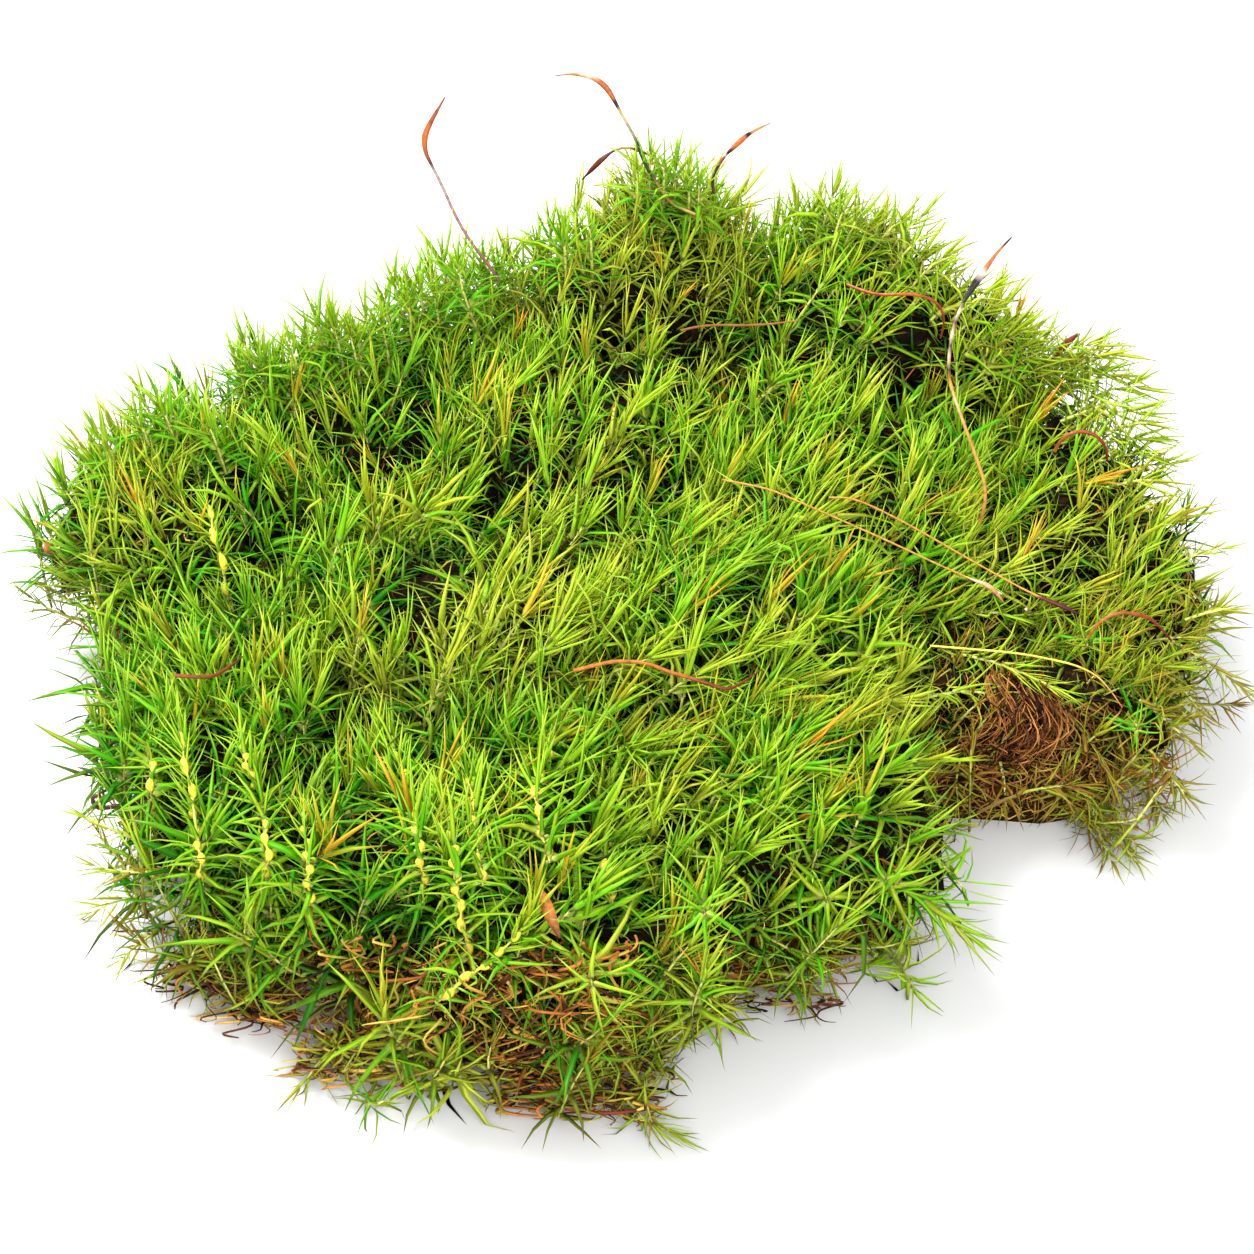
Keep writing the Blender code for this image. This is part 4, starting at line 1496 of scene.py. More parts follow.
@dataclass(frozen=True)
class Stalk:
    """One stalk, capsule, straw or needle, skinned round the middle line of the frame's own."""

    node_name: str
    finish_name: str
    bands: tuple
    slot: Slot = Slot.SETA
    sides: int = 8
    points: int = 44
    cap_edge_mm: float = 0.95
    thin_mm: float = 0.34
    slimness: float = 0.75
    plumpness: float = 0.8
    whole_from: float = 1.1

    def middle_line(self, node: Object) -> tuple[np.ndarray, np.ndarray]:
        """Read the middle line and the radii of the frame's stalk, from its foot to its tip.

        Args:
            node: The frame's stalk.

        Returns:
            The points and the radii in metres.
        """
        shape = merged_copy(node)
        caps = [f for f in shape.faces if all(e.calc_length() < self.cap_edge_mm * MM for e in f.edges)]
        lines = []
        for cap in caps:
            ring = set(cap.verts)
            for other in caps:
                if len(ring & set(other.verts)) >= 2:
                    ring |= set(other.verts)
            seen: set = set(ring)
            line = []
            while ring:
                spots = np.array([v.co[:] for v in ring])
                line.append((*spots.mean(axis=0), np.linalg.norm(spots - spots.mean(axis=0), axis=1).mean()))
                ring = {e.other_vert(v) for v in ring for e in v.link_edges} - seen
                seen |= ring
            lines.append(np.array(line))
        shape.free()
        line = max(lines, key=lambda rows: (len(rows), rows[0, 3]))
        return line[:, :3], line[:, 3]

    def build(self, nodes: dict[str, Object], tubes: NodeTree) -> Object:
        """Skin the stalk and set it in place of the frame's.

        Args:
            nodes: The frame's nodes by name.
            tubes: The node group that skins paths.

        Returns:
            The finished piece.
        """
        spots, radii = self.middle_line(nodes[self.node_name])
        steps = np.concatenate([[0.0], np.cumsum(np.linalg.norm(np.diff(spots, axis=0), axis=1))])
        share = steps / steps[-1]
        fine = np.linspace(0.0, len(spots) - 1.0, 6 * len(spots))
        path = np.stack([smooth_through(fine, spots[:, axis]) for axis in range(3)], axis=1)
        thick = np.maximum(smooth_through(fine, radii), 0.05 * MM)
        along = np.interp(fine, np.arange(len(share)), share)
        slim = np.interp(thick / MM, [self.thin_mm, 2 * self.thin_mm], [self.slimness, self.plumpness])
        thick *= np.where(along < self.whole_from, slim, 1.0)
        finish = StalkFinish(self.finish_name, self.bands).build()
        piece = tubes_along(self.node_name + "_skinned", [path], {"share": [along], "radius": [thick]}, tubes,
            finish, self.points, self.sides)
        return dress(piece, self.slot, self.node_name, smooth=True)


def smooth_through(places: np.ndarray, values: np.ndarray) -> np.ndarray:
    """Draw a smooth curve through evenly numbered values (Catmull-Rom).

    Args:
        places: Where to read the curve, in steps from the first value.
        values: The values that it passes through.

    Returns:
        The curve's values.
    """
    low = np.clip(np.floor(places).astype(int), 0, len(values) - 2)
    part = places - low
    padded = np.concatenate([[2 * values[0] - values[1]], values, [2 * values[-1] - values[-2]]])
    before, here, after, beyond = (padded[low + i] for i in range(4))
    return here + 0.5 * part * (after - before + part * (2 * before - 5 * here + 4 * after - beyond
        + part * (3 * (here - after) + beyond - before)))


@dataclass
class Sightline:
    """Finds the place on the clump that a pixel of the photograph shows."""

    studio: Studio
    surface: BVHTree
    reach: float = 0.4

    def ray(self, pixel: tuple[float, float]) -> Vector:
        """Find the way from the camera through a pixel."""
        ahead, right, up = self.studio.axes()
        half = self.studio.picture_px / 2
        way = ahead * self.studio.focal_px() + right * (pixel[0] - half) + up * (half - pixel[1])
        return way.normalized()

    def on_clump(self, pixel: tuple[float, float]) -> tuple[float, float]:
        """Move a pixel towards the middle of the picture until it shows the clump.

        Args:
            pixel: The pixel's column and row.

        Returns:
            The first pixel that shows the clump, or the given one where none does.
        """
        start, middle = np.array(pixel, dtype=float), np.full(2, self.studio.picture_px / 2)
        for share in np.arange(0.0, self.reach, 0.01):
            place = start + (middle - start) * share
            if self.surface.ray_cast(Vector(self.studio.eye), self.ray(place))[0] is not None:
                return tuple(place)
        return pixel

    def spot(self, pixel: tuple[float, float], lift_mm: float,
            behind: np.ndarray | None = None) -> np.ndarray:
        """Find the place that a pixel shows, and lift it towards the camera.

        Args:
            pixel: The pixel's column and row.
            lift_mm: How far in front of the surface the place lies.
            behind: A place whose upright plane catches a pixel that shows no part of the clump.

        Returns:
            The place in millimetres.
        """
        eye, ray = Vector(self.studio.eye), self.ray(pixel)
        hit = self.surface.ray_cast(eye, ray)[0]
        if hit is None:
            if behind is not None and (upright := eye + ray * ((behind[1] * MM - eye.y) / ray.y)).z > 0.0:
                return np.array(upright) / MM
            hit = eye - ray * (eye.z / ray.z)
        return np.array(hit - ray * lift_mm * MM) / MM

    def path(self, pixels: tuple, lifts_mm: tuple, count: int) -> np.ndarray:
        """Draw a smooth path through the places that some pixels show.

        Args:
            pixels: The pixels.
            lifts_mm: How far in front of the surface the first and the last place lie.
            count: How many points the path has.

        Returns:
            The path's points in millimetres.
        """
        lifts = np.linspace(lifts_mm[0], lifts_mm[1], len(pixels))
        spots = [self.spot(self.on_clump(pixels[0]), lifts[0])]
        for pixel, lift in zip(pixels[1:], lifts[1:]):
            spots.append(self.spot(pixel, lift, spots[-1]))
        spots = np.array(spots)
        fine = np.linspace(0.0, len(pixels) - 1.0, count)
        path = np.stack([smooth_through(fine, spots[:, axis]) for axis in range(3)], axis=1)
        path[:, 2] = np.maximum(path[:, 2], FLOOR_GAP_MM)
        return path


@dataclass(frozen=True)
class PickedShoot:
    """One shoot that the photograph shows clearly, followed from its foot's pixel to its tip's."""

    pixels: tuple
    lifts_mm: tuple
    leaf_mm: float = 7.0
    spread_deg: tuple = (75.0, 60.0, 45.0, 12.0)
    tone: float = 0.55
    olive: float = 0.0
    arch: float = 0.95
    beads: int = 0
    # The part of the share that a shoot shows; starting it high keeps its lower leaves out of most of the
    # painted shade.
    shown: tuple = (0.66, 1.0)


@dataclass
class PickedShoots:
    """The single shoots of the front and the foot: beaded upright ones and open stars."""

    shoots: tuple
    carriers: tuple
    name: str = "leafy_shoots_picked"
    chain_points: int = 9
    leaf_gap_mm: float = 0.36
    bead_mm: float = 0.54
    bead_share: float = 0.32
    neck_mm: float = 0.12
    zigzag_mm: float = 0.22
    points_per_bead: int = 8
    bead_sides: int = 6
    seed: int = 61

    def build(self, sight: Sightline, growth: Growth) -> Object:
        """Grow the shoots.

        Args:
            sight: Finds the places that pixels show.
            growth: What grown pieces share.

        Returns:
            The finished piece.
        """
        rng = np.random.default_rng(self.seed)
        share = np.linspace(0.0, 1.0, self.chain_points)
        table = StemTable()
        for shoot in self.shoots:
            table.add(sight.path(shoot.pixels, shoot.lifts_mm, self.chain_points),
                {"share": np.interp(share, [0.0, 1.0], shoot.shown),
                "leaf_length": shoot.leaf_mm * MM * np.interp(share, [0.0, 0.5, 1.0], [1.0, 1.0, 0.75]),
                "spread": np.radians(np.interp(share, [0.0, 0.4, 0.8, 1.0], shoot.spread_deg)),
                "tone": shoot.tone, "olive": shoot.olive, "gold": 0.0, "phase": rng.uniform(0, 2 * math.pi),
                "bare": 0.0, "arch": shoot.arch * np.interp(share, [0.0, 0.9, 1.0], [1.0, 1.0, 0.3]),
                "radius": np.interp(share, [0.0, 0.8, 1.0], [0.24, 0.18, 0.06]) * MM})
        return dress(table.grow(self.name, growth, self.leaf_gap_mm, self.seed), Slot.MOSS, *self.carriers)

    def bead_strings(self, sight: Sightline, growth: Growth) -> Object:
        """Make the swollen pale leaf feet that sit on the upright stems like beads on a string; their pale
        colour is partly painted highlight.

        Args:
            sight: Finds the places that pixels show.
            growth: What grown pieces share.

        Returns:
            The finished piece.
        """
        beaded = [shoot for shoot in self.shoots if shoot.beads]
        most = max(shoot.beads for shoot in beaded)
        share = np.linspace(0.0, 1.0, most * self.points_per_bead + 1)
        chains, radii = [], []
        for shoot in beaded:
            beat = shoot.beads * share
            path = sight.path(shoot.pixels, shoot.lifts_mm, len(share))
            path[:, 0] += self.zigzag_mm * np.sin(math.pi * beat)
            swollen = np.sqrt(np.maximum(0.0, 1 - ((beat % 1.0 - 0.5) / self.bead_share) ** 2))
            ends = np.interp(share, [0.0, 0.1, 0.85, 1.0], [0.6, 1.0, 1.0, 0.3])
            chains.append(path * MM)
            radii.append(np.maximum(self.neck_mm, self.bead_mm * swollen) * ends * MM)
        piece = tubes_along("stem_beads", chains, {"share": [share] * len(beaded), "radius": radii},
            growth.tubes, growth.finishes["sheath"], len(share), self.bead_sides)
        return dress(piece, Slot.MOSS, smooth=True)


@dataclass(frozen=True)
class Strands:
    """Dead curled strands that hang or lie over a part of the clump."""

    name: str
    box_px: tuple
    drop_px: tuple
    drift_px: float
    lift_mm: tuple
    curl_mm: tuple
    count: int
    radius_mm: tuple
    seed: int
    bow_mm: float = 0.0
    points: int = 12
    sides: int = 3
    brighter: tuple = ("strands_foot_front", "strands_foot_edge")

    def build(self, sight: Sightline, growth: Growth) -> Object:
        """Wind the strands.

        Args:
            sight: Finds the places that pixels show.
            growth: What grown pieces share.

        Returns:
            The finished piece.
        """
        rng = np.random.default_rng(self.seed)
        share = np.linspace(0.0, 1.0, self.points)
        chains, radii, tones = [], [], []
        left, top, right, bottom = self.box_px
        for _ in range(self.count):
            start = np.array([rng.uniform(left, right), rng.uniform(top, bottom)])
            end = start + [rng.normal(0.0, self.drift_px), rng.uniform(*self.drop_px)]
            high = sight.spot(start, rng.uniform(*self.lift_mm))
            low = sight.spot(end, rng.uniform(*self.lift_mm) * 0.6, high)
            turn = rng.uniform(2.0, 8.0) * rng.choice([-1, 1]) * share + rng.uniform(0, 2 * math.pi)
            size = rng.uniform(*self.curl_mm) * np.sin(math.pi * share) ** 0.5
            curl = np.stack([np.cos(turn), -0.7 * np.sin(turn) - 0.4, 0.7 * np.sin(turn)], axis=1)
            bow = np.array([1.0, -0.6, 0.2]) * self.bow_mm * rng.uniform(0.3, 1.2)
            line = high + (low - high) * share[:, None] + curl * size[:, None]
            line += bow * (np.sin(math.pi * share) ** 1.5)[:, None]
            line[:, 2] = np.maximum(line[:, 2], FLOOR_GAP_MM + 0.1)
            chains.append(line * MM)
            radii.append(np.interp(share, [0, 0.7, 1], [1.0, 0.8, 0.3]) * rng.uniform(*self.radius_mm) * MM)
            tones.append(np.full(self.points, rng.uniform(0.0, 1.0)))
        values = {"share": [0.3 + 0.7 * share] * self.count, "radius": radii, "leaf_tone": tones}
        finish = growth.finishes["curl" if self.name.startswith(self.brighter) else "strand"]
        piece = tubes_along(self.name, chains, values, growth.tubes, finish, self.points, self.sides)
        return dress(piece, Slot.DEAD_MOSS)


@dataclass(frozen=True)
class Litter:
    """One loose bit on the clump: a scale, a twig, a needle or the remains of a capsule."""

    name: str
    pixels: tuple
    radii_mm: tuple
    bands: tuple
    lift_mm: float = 4.0
    sides: int = 6
    points: int = 20

    def build(self, sight: Sightline, tubes: NodeTree) -> Object:
        """Skin the bit along the pixels that show it.

        Args:
            sight: Finds the places that pixels show.
            tubes: The node group that skins paths.

        Returns:
            The finished piece.
        """
        share = np.linspace(0.0, 1.0, self.points)
        path = sight.path(self.pixels, (self.lift_mm, self.lift_mm), self.points)
        thick = np.interp(share, np.linspace(0.0, 1.0, len(self.radii_mm)), self.radii_mm)
        finish = StalkFinish(self.name + "_bark", self.bands, 0.55, 0.4, 0.5, 1.0).build()
        piece = tubes_along(self.name, [path * MM], {"share": [share], "radius": [thick * MM]}, tubes, finish,
            self.points, self.sides)
        return dress(piece, Slot.LITTER, smooth=True)


TUFTS = [
    # The back hump's tone of 1.1 paints light on its shaded front.
    MossTuft("back_hump", 7.2, (0.0, 0.1, 1.0), 36, tone=1.1, arch=0.4, filler_share=0.75, seed=1),
    MossTuft("back_right", 8.0, (0.35, 0.1, 0.9), 48, tone=0.56, arch=0.6, filler_share=0.2, seed=2),
    MossTuft("back_left", 8.0, (-0.1, 0.15, 1.0), 42, tone=0.48, arch=0.4, filler_share=0.3, seed=3),
    MossTuft("left", 8.4, (-0.3, 0.1, 0.9), 44, tone=0.44, arch=0.5, filler_share=0.3, seed=4),
    MossTuft("middle_ridge", 8.4, (0.35, 0.15, 0.9), 42, tone=0.60, arch=0.5, filler_share=0.2, seed=5),
    MossTuft("right_field", 9.6, (0.4, -0.1, 0.9), 50, tone=0.48, arch=0.7, filler_share=0.15, seed=6),
    MossTuft("right_edge", 8.6, (0.6, 0.0, 0.8), 48, tone=0.58, olive=0.1, arch=0.6, filler_share=0.2,
        seed=7),
    MossTuft("left_front", 9.0, (-0.05, 0.0, 1.0), 46, tone=0.38, arch=0.7, comb_share=0.75, filler_share=0.3,
        foot_mm=17.0, seed=8),
    MossTuft("middle", 9.2, (0.6, 0.25, 0.75), 42, comb_share=0.72, tone=0.46, arch=0.6, filler_share=0.2,
        seed=9),
    MossTuft("middle_right", 9.6, (0.8, 0.15, 0.6), 42, comb_share=0.72, tone=0.56, arch=0.6,
        filler_share=0.2, seed=10),
    MossTuft("front", 10.5, (0.2, -0.05, 1.0), 48, tone=0.40, arch=0.8, comb_share=0.8, filler_share=0.2,
        foot_mm=18.0, seed=11),
    MossTuft("front_right", 10.0, (0.75, -0.15, 0.6), 46, tone=0.46, arch=0.75, filler_share=0.2,
        foot_mm=15.0, seed=12),
    MossTuft("right_front", 6.6, (0.5, -0.35, 0.6), 44, tone=0.66, olive=0.38, arch=0.5, leaf_gap_mm=0.40,
        filler_share=0.15, foot_mm=3.0, seed=13),
]
DEAD_TUFT = MossTuft(
    "right_front", 5.0, (0.1, -0.3, 0.4), 50, tone=0.3, olive=1.0, arch=0.8, seed=14, foot_mm=3.0,
    node_prefix="dead_tuft_", piece_prefix="withered_shoots_", slot=Slot.DEAD_MOSS)

# Shoots are left out of these hollows so that the near-black felt shows there as painted shade.
HOLLOWS = ((450, 545, 50, 42), (530, 480, 60, 36), (645, 520, 42, 36), (610, 322, 56, 22), (712, 332, 40, 22),
           (762, 378, 34, 24), (330, 700, 36, 34), (420, 712, 36, 34), (880, 838, 36, 34), (910, 355, 26, 34),
           (995, 410, 28, 28), (1083, 700, 38, 40))

STALKS = (
    Stalk("sporophyte_back_left", "seta_back_left", (
        (0.0, "#6A4038"), (0.3, "#8A5A50"), (0.62, "#A88A84"), (0.655, "#2A1812"), (0.7, "#9A4816"),
        (0.8, "#A85416"), (0.86, "#8E3C14"), (0.89, "#7A3A1A"), (1.0, "#8A5030")),
        plumpness=0.62, whole_from=0.9),
    Stalk("sporophyte_back_tall", "seta_back_tall", (
        (0.0, "#9A7A3A"), (0.25, "#8A6A30"), (0.3, "#20241A"), (0.46, "#20241A"), (0.5, "#8A7A58"),
        (0.62, "#B89A68"), (0.645, "#1E140E"), (0.67, "#1E140E"), (0.69, "#A85818"), (0.78, "#9A4A20"),
        (0.84, "#C8B090"), (0.9, "#B0601E"), (0.95, "#A87050"), (1.0, "#8A8078")),
        plumpness=0.62, whole_from=0.86),
    Stalk("sporophyte_back_arched", "seta_back_arched", (
        (0.0, "#5A2414"), (0.25, "#8A3A1E"), (0.33, "#A88A60"), (0.45, "#A88A60"), (0.5, "#24301A"),
        (0.55, "#3A1A12"), (0.6, "#5A2614"), (0.85, "#54200F"), (1.0, "#2A100A")), plumpness=0.55),
    Stalk("sporophyte_back_short", "seta_back_short", (
        (0.0, "#3A1210"), (0.2, "#1A0C0C"), (0.3, "#6A2A1E"), (0.38, "#7A3024"), (0.41, "#C0A080"),
        (0.44, "#181010"), (0.49, "#3A1C10"), (0.53, "#A8521E"), (0.68, "#B8602A"), (0.72, "#2A140E"),
        (0.76, "#2A140E"), (0.79, "#C0702A"), (0.92, "#B87038"), (1.0, "#8A8078")),
        plumpness=0.62, whole_from=0.84),
    Stalk("sporophyte_right", "seta_right", (
        (0.0, "#9A6A30"), (0.3, "#A87838"), (0.4, "#B08A58"), (0.47, "#B8702A"), (0.52, "#2A1A14"),
        (0.56, "#C0A080"), (0.6, "#1C1412"), (0.64, "#C0A080"), (0.68, "#3A2A20"), (0.72, "#C8B098"),
        (0.75, "#141010"), (0.83, "#1C1210"), (0.86, "#E0C0B8"), (0.88, "#B8602A"), (0.95, "#B8602A"),
        (0.97, "#3A1C12"), (1.0, "#2A1410")), plumpness=0.65, whole_from=0.84),
    Stalk("bent_stalk_right_field", "seta_bent_field", (
        (0.0, "#8E4A20"), (0.6, "#98441A"), (1.0, "#5A1E10"))),
    Stalk("bent_stalk_right_edge", "seta_bent_edge", ((0.0, "#8A4A20"), (0.7, "#7A2A12"), (1.0, "#42160E"))),
    Stalk("bent_stalk_right_front", "seta_bent_front", (
        (0.0, "#9A5A28"), (0.7, "#7A2612"), (1.0, "#42160E"))),
    Stalk("fallen_stalk_long", "seta_fallen_long", (
        (0.0, "#B8843C"), (0.83, "#C08A3C"), (0.87, "#D8B090"), (0.93, "#D8A070"), (1.0, "#B8683A")),
        thin_mm=2.0, slimness=0.42),
    Stalk("fallen_stalk_short", "seta_fallen_short", (
        (0.0, "#B07834"), (0.82, "#B8803A"), (0.85, "#5A1620"), (0.93, "#4A1420"), (1.0, "#3A1014")),
        thin_mm=2.0, slimness=0.42),
    Stalk("thin_stalk_back", "seta_thin_back", ((0.0, "#7A4A20"), (1.0, "#8A5A28"))),
    Stalk("straw_right", "dry_straw", (
        (0.0, "#D8CC5A"), (0.6, "#D0B84A"), (0.8, "#C08A34"), (1.0, "#8A3A1C")),
        slot=Slot.STRAW, thin_mm=2.0, slimness=0.4),
    Stalk("needle_middle", "dead_needle_middle", (
        (0.0, "#A8641E"), (0.5, "#98541C"), (0.62, "#6A2814"), (1.0, "#54200F")),
        slot=Slot.LITTER, thin_mm=2.0, slimness=0.5),
    Stalk("needle_left", "dead_needle_left", (
        (0.0, "#7A3A1A"), (1.0, "#4A2010")), slot=Slot.LITTER, thin_mm=2.0, slimness=0.5),
)

WIDE_OPEN = (95.0, 85.0, 62.0, 25.0)
LYING = (40.0, 34.0, 22.0, 8.0)
UPRIGHT = (64.0, 50.0, 28.0, 9.0)
TWIG = (60.0, 52.0, 40.0, 14.0)
# Stars show only this part of the share: never a spear tip, and little painted shade.
STAR = (0.74, 0.82)


def rim_shoot(column: float, row: float, aside: float, back: float) -> PickedShoot:
    """Stand a shoot at the back rim, leaning outward as the photograph shows it there.

    Args:
        column: The column of the pixel that its leaves reach.
        row: The row of that pixel.
        aside: How many pixels it is moved across its own way.
        back: How many pixels it is moved back along it.

    Returns:
        The shoot.
    """
    lean = math.radians(np.interp(column, (88, 400, 800, 930, 1060, 1180), (-25, -8, 5, 42, 60, 82)))
    ahead = np.array([math.sin(lean), -math.cos(lean)])
    end = np.array([column, row]) + aside * np.array([-ahead[1], ahead[0]]) - back * ahead
    path = tuple(tuple(end - reach * ahead + (0, sag)) for reach, sag in ((74, 0), (46, -3), (22, 0)))
    right = float(np.interp(column, (700, 950), (0, 1)))
    return PickedShoot(path, (4, 4), 7.5, UPRIGHT, 0.5 + 0.25 * right, 0.12 * right)


PICKED = (
    *(PickedShoot(path, (8, 9), leaf_mm, beads=beads) for path, leaf_mm, beads in (
        (((270, 962), (269, 905), (267, 850), (262, 800), (247, 765), (240, 735)), 7.0, 17),
        (((312, 935), (309, 890), (307, 850), (302, 812)), 7.0, 9),
        (((206, 905), (200, 862), (198, 832), (190, 785), (178, 725)), 7.0, 9),
        (((424, 888), (420, 850), (414, 815), (402, 770), (388, 732)), 7.0, 9),
        (((470, 958), (459, 905), (455, 870), (452, 835), (440, 790)), 8.0, 10),
        (((483, 885), (478, 850), (474, 812), (468, 768)), 7.5, 6),
        (((436, 1003), (470, 975), (498, 955), (522, 928)), 8.0, 5),
        (((550, 862), (540, 828), (536, 795), (542, 765)), 8.0, 5),
        (((546, 765), (553, 735), (566, 712), (582, 688)), 7.5, 5),
        (((612, 905), (606, 862), (606, 820), (604, 790)), 8.0, 5),
        (((150, 815), (152, 775), (148, 735), (140, 690)), 6.5, 6),
        (((229, 622), (226, 585), (216, 540), (206, 500)), 6.0, 5))),
    *(PickedShoot(((x, y), (to_x, to_y)), (low, high), leaf_mm, WIDE_OPEN, tone, olive, shown=STAR)
      for x, y, to_x, to_y, low, high, leaf_mm, tone, olive in (
        # The first two stars' high tones paint light on the shaded front foot.
        (455, 1040, 446, 1068, 4, 10, 12.0, 1.05, 0.0), (462, 1048, 455, 1078, 4, 9, 11.0, 1.0, 0.0),
        (415, 1040, 400, 1078, 2, 6, 7.0, 0.9, 0.3), (588, 955, 592, 985, 2, 9, 9.5, 0.72, 0.0),
        (366, 1036, 343, 1072, 2, 6, 5.5, 0.9, 0.4), (266, 968, 256, 994, 3, 8, 7.0, 0.75, 0.1),
        (900, 960, 914, 988, 2, 6, 7.5, 0.7, 0.0), (953, 872, 966, 890, 1, 6, 7.5, 0.55, 0.0),
        (820, 890, 828, 902, 2, 8, 8.0, 0.62, 0.0), (893, 885, 884, 880, 2, 7, 7.5, 0.6, 0.0),
        (700, 898, 705, 915, 2, 8, 7.5, 0.5, 0.0), (758, 945, 765, 960, 1, 6, 6.0, 0.8, 0.2),
        (800, 975, 810, 998, 2, 5, 5.0, 0.7, 0.5), (715, 996, 724, 1014, 2, 5, 5.0, 0.6, 0.6),
        (630, 1085, 652, 1122, 2, 5, 6.0, 0.7, 0.6), (1134, 718, 1138, 732, 1, 6, 5.6, 0.35, 0.1),
        (1124, 815, 1136, 845, 1, 5, 6.0, 0.6, 0.45), (1172, 770, 1183, 792, 1, 5, 6.0, 0.5, 0.7),
        (1090, 640, 1087, 646, 2, 7, 6.5, 0.5, 0.3), (820, 388, 821, 382, 4, 10, 7.5, 0.55, 0.0),
        (1010, 374, 1013, 368, 4, 9, 7.0, 0.5, 0.0), (990, 594, 993, 588, 3, 8, 6.5, 0.55, 0.0),
        (925, 458, 927, 452, 4, 9, 7.0, 0.58, 0.0))),
    *(rim_shoot(x, y, aside, back) for aside, back in ((-13, 16), (0, 0), (14, 12)) for x, y in (
        (88, 412), (132, 372), (152, 384), (184, 398), (238, 322), (252, 336), (285, 322), (310, 290),
        (330, 306), (362, 292), (392, 258), (416, 262), (440, 232), (462, 236), (482, 236), (506, 232),
        (548, 204), (575, 196), (650, 132), (676, 142), (700, 158), (742, 196), (800, 186), (840, 172),
        (872, 190), (938, 200), (962, 240), (1010, 277), (1046, 318), (1070, 338), (1100, 356), (1137, 348),
        (1160, 382), (1178, 420), (1190, 462))),
    *(PickedShoot(path, lifts, leaf_mm, LYING, tone, olive) for path, lifts, leaf_mm, tone, olive in (
        (((938, 650), (1000, 664), (1060, 690)), (4, 7), 6.0, 0.75, 0.0),
        (((940, 612), (990, 612), (1046, 624)), (4, 7), 6.0, 0.7, 0.15),
        (((915, 700), (975, 690), (1010, 706)), (4, 6), 6.0, 0.75, 0.0),
        (((890, 880), (930, 905), (968, 935)), (4, 4), 8.5, 0.6, 0.0),
        (((600, 1100), (640, 1116), (670, 1132)), (3, 2), 6.0, 0.6, 0.4))),
    *(PickedShoot(path, (3, 3), 5.6, TWIG, 0.75, olive) for path, olive in (
        (((1078, 785), (1105, 825), (1137, 862)), 0.4), (((1085, 790), (1098, 830), (1112, 862)), 0.7),
        (((1060, 790), (1080, 815), (1096, 838)), 0.75), (((1130, 760), (1148, 790), (1163, 815)), 0.6),
        (((1150, 750), (1170, 775), (1186, 797)), 0.9), (((1170, 640), (1205, 660), (1247, 692)), 0.5),
        (((1165, 670), (1188, 695), (1206, 722)), 0.6), (((1165, 570), (1195, 555), (1222, 548)), 0.4),
        (((1185, 620), (1210, 612), (1232, 608)), 0.45), (((1140, 700), (1168, 722), (1196, 748)), 0.6),
        (((160, 850), (118, 832), (84, 816)), 0.3), (((165, 880), (125, 872), (94, 866)), 0.5),
        (((165, 905), (125, 898), (88, 914)), 0.35), (((176, 920), (146, 938), (118, 962)), 0.3),
        (((196, 925), (180, 950), (160, 972)), 0.5), (((220, 950), (206, 972), (196, 988)), 0.6),
        (((340, 1040), (316, 1066), (300, 1088)), 0.5), (((560, 1040), (572, 1066), (590, 1086)), 0.6),
        (((1000, 762), (1004, 782), (1006, 806)), 0.95), (((960, 760), (956, 780), (958, 800)), 0.7))),
)

STRANDS = (
    Strands("strands_notch", (985, 660, 1050, 700), (50, 95), 20.0, (1.0, 6.0), (0.2, 1.3), 210, (0.06, 0.14),
        31, 2.6),
    Strands("strands_notch_low", (965, 730, 1056, 775), (-10, 18), 16.0, (0.5, 3.5), (0.4, 1.6), 80,
        (0.06, 0.13), 36, 1.2),
    Strands("strands_notch_right", (1058, 700, 1112, 775), (5, 40), 22.0, (1.0, 4.0), (0.3, 1.3), 90,
        (0.06, 0.15), 32),
    Strands("strands_notch_edge", (962, 765, 1066, 792), (4, 26), 24.0, (0.4, 3.5), (0.5, 1.8), 50,
        (0.07, 0.18), 45),
    Strands("strands_foot_left", (180, 915, 330, 985), (10, 45), 30.0, (2.0, 7.0), (0.8, 2.4), 90,
        (0.10, 0.26), 33),
    Strands("strands_foot_front", (325, 935, 640, 1050), (5, 45), 34.0, (3.0, 9.0), (0.8, 2.6), 290,
        (0.10, 0.28), 34),
    Strands("strands_foot_edge_left", (165, 935, 240, 980), (0, 26), 26.0, (0.3, 4.5), (0.8, 2.2), 45,
        (0.10, 0.24), 41),
    Strands("strands_foot_edge_middle", (235, 985, 300, 1015), (0, 26), 26.0, (0.3, 4.5), (0.8, 2.2), 55,
        (0.10, 0.24), 42),
    Strands("strands_foot_edge_front", (300, 1020, 420, 1075), (0, 22), 28.0, (0.3, 5.0), (0.8, 2.4), 90,
        (0.10, 0.26), 43),
    Strands("strands_foot_edge_right", (500, 1050, 650, 1105), (0, 22), 28.0, (0.3, 5.0), (0.8, 2.4), 130,
        (0.10, 0.26), 44),
    Strands("strands_foot_right", (640, 955, 850, 1005), (-8, 22), 26.0, (1.0, 6.0), (0.7, 2.2), 90,
        (0.10, 0.24), 35),
)

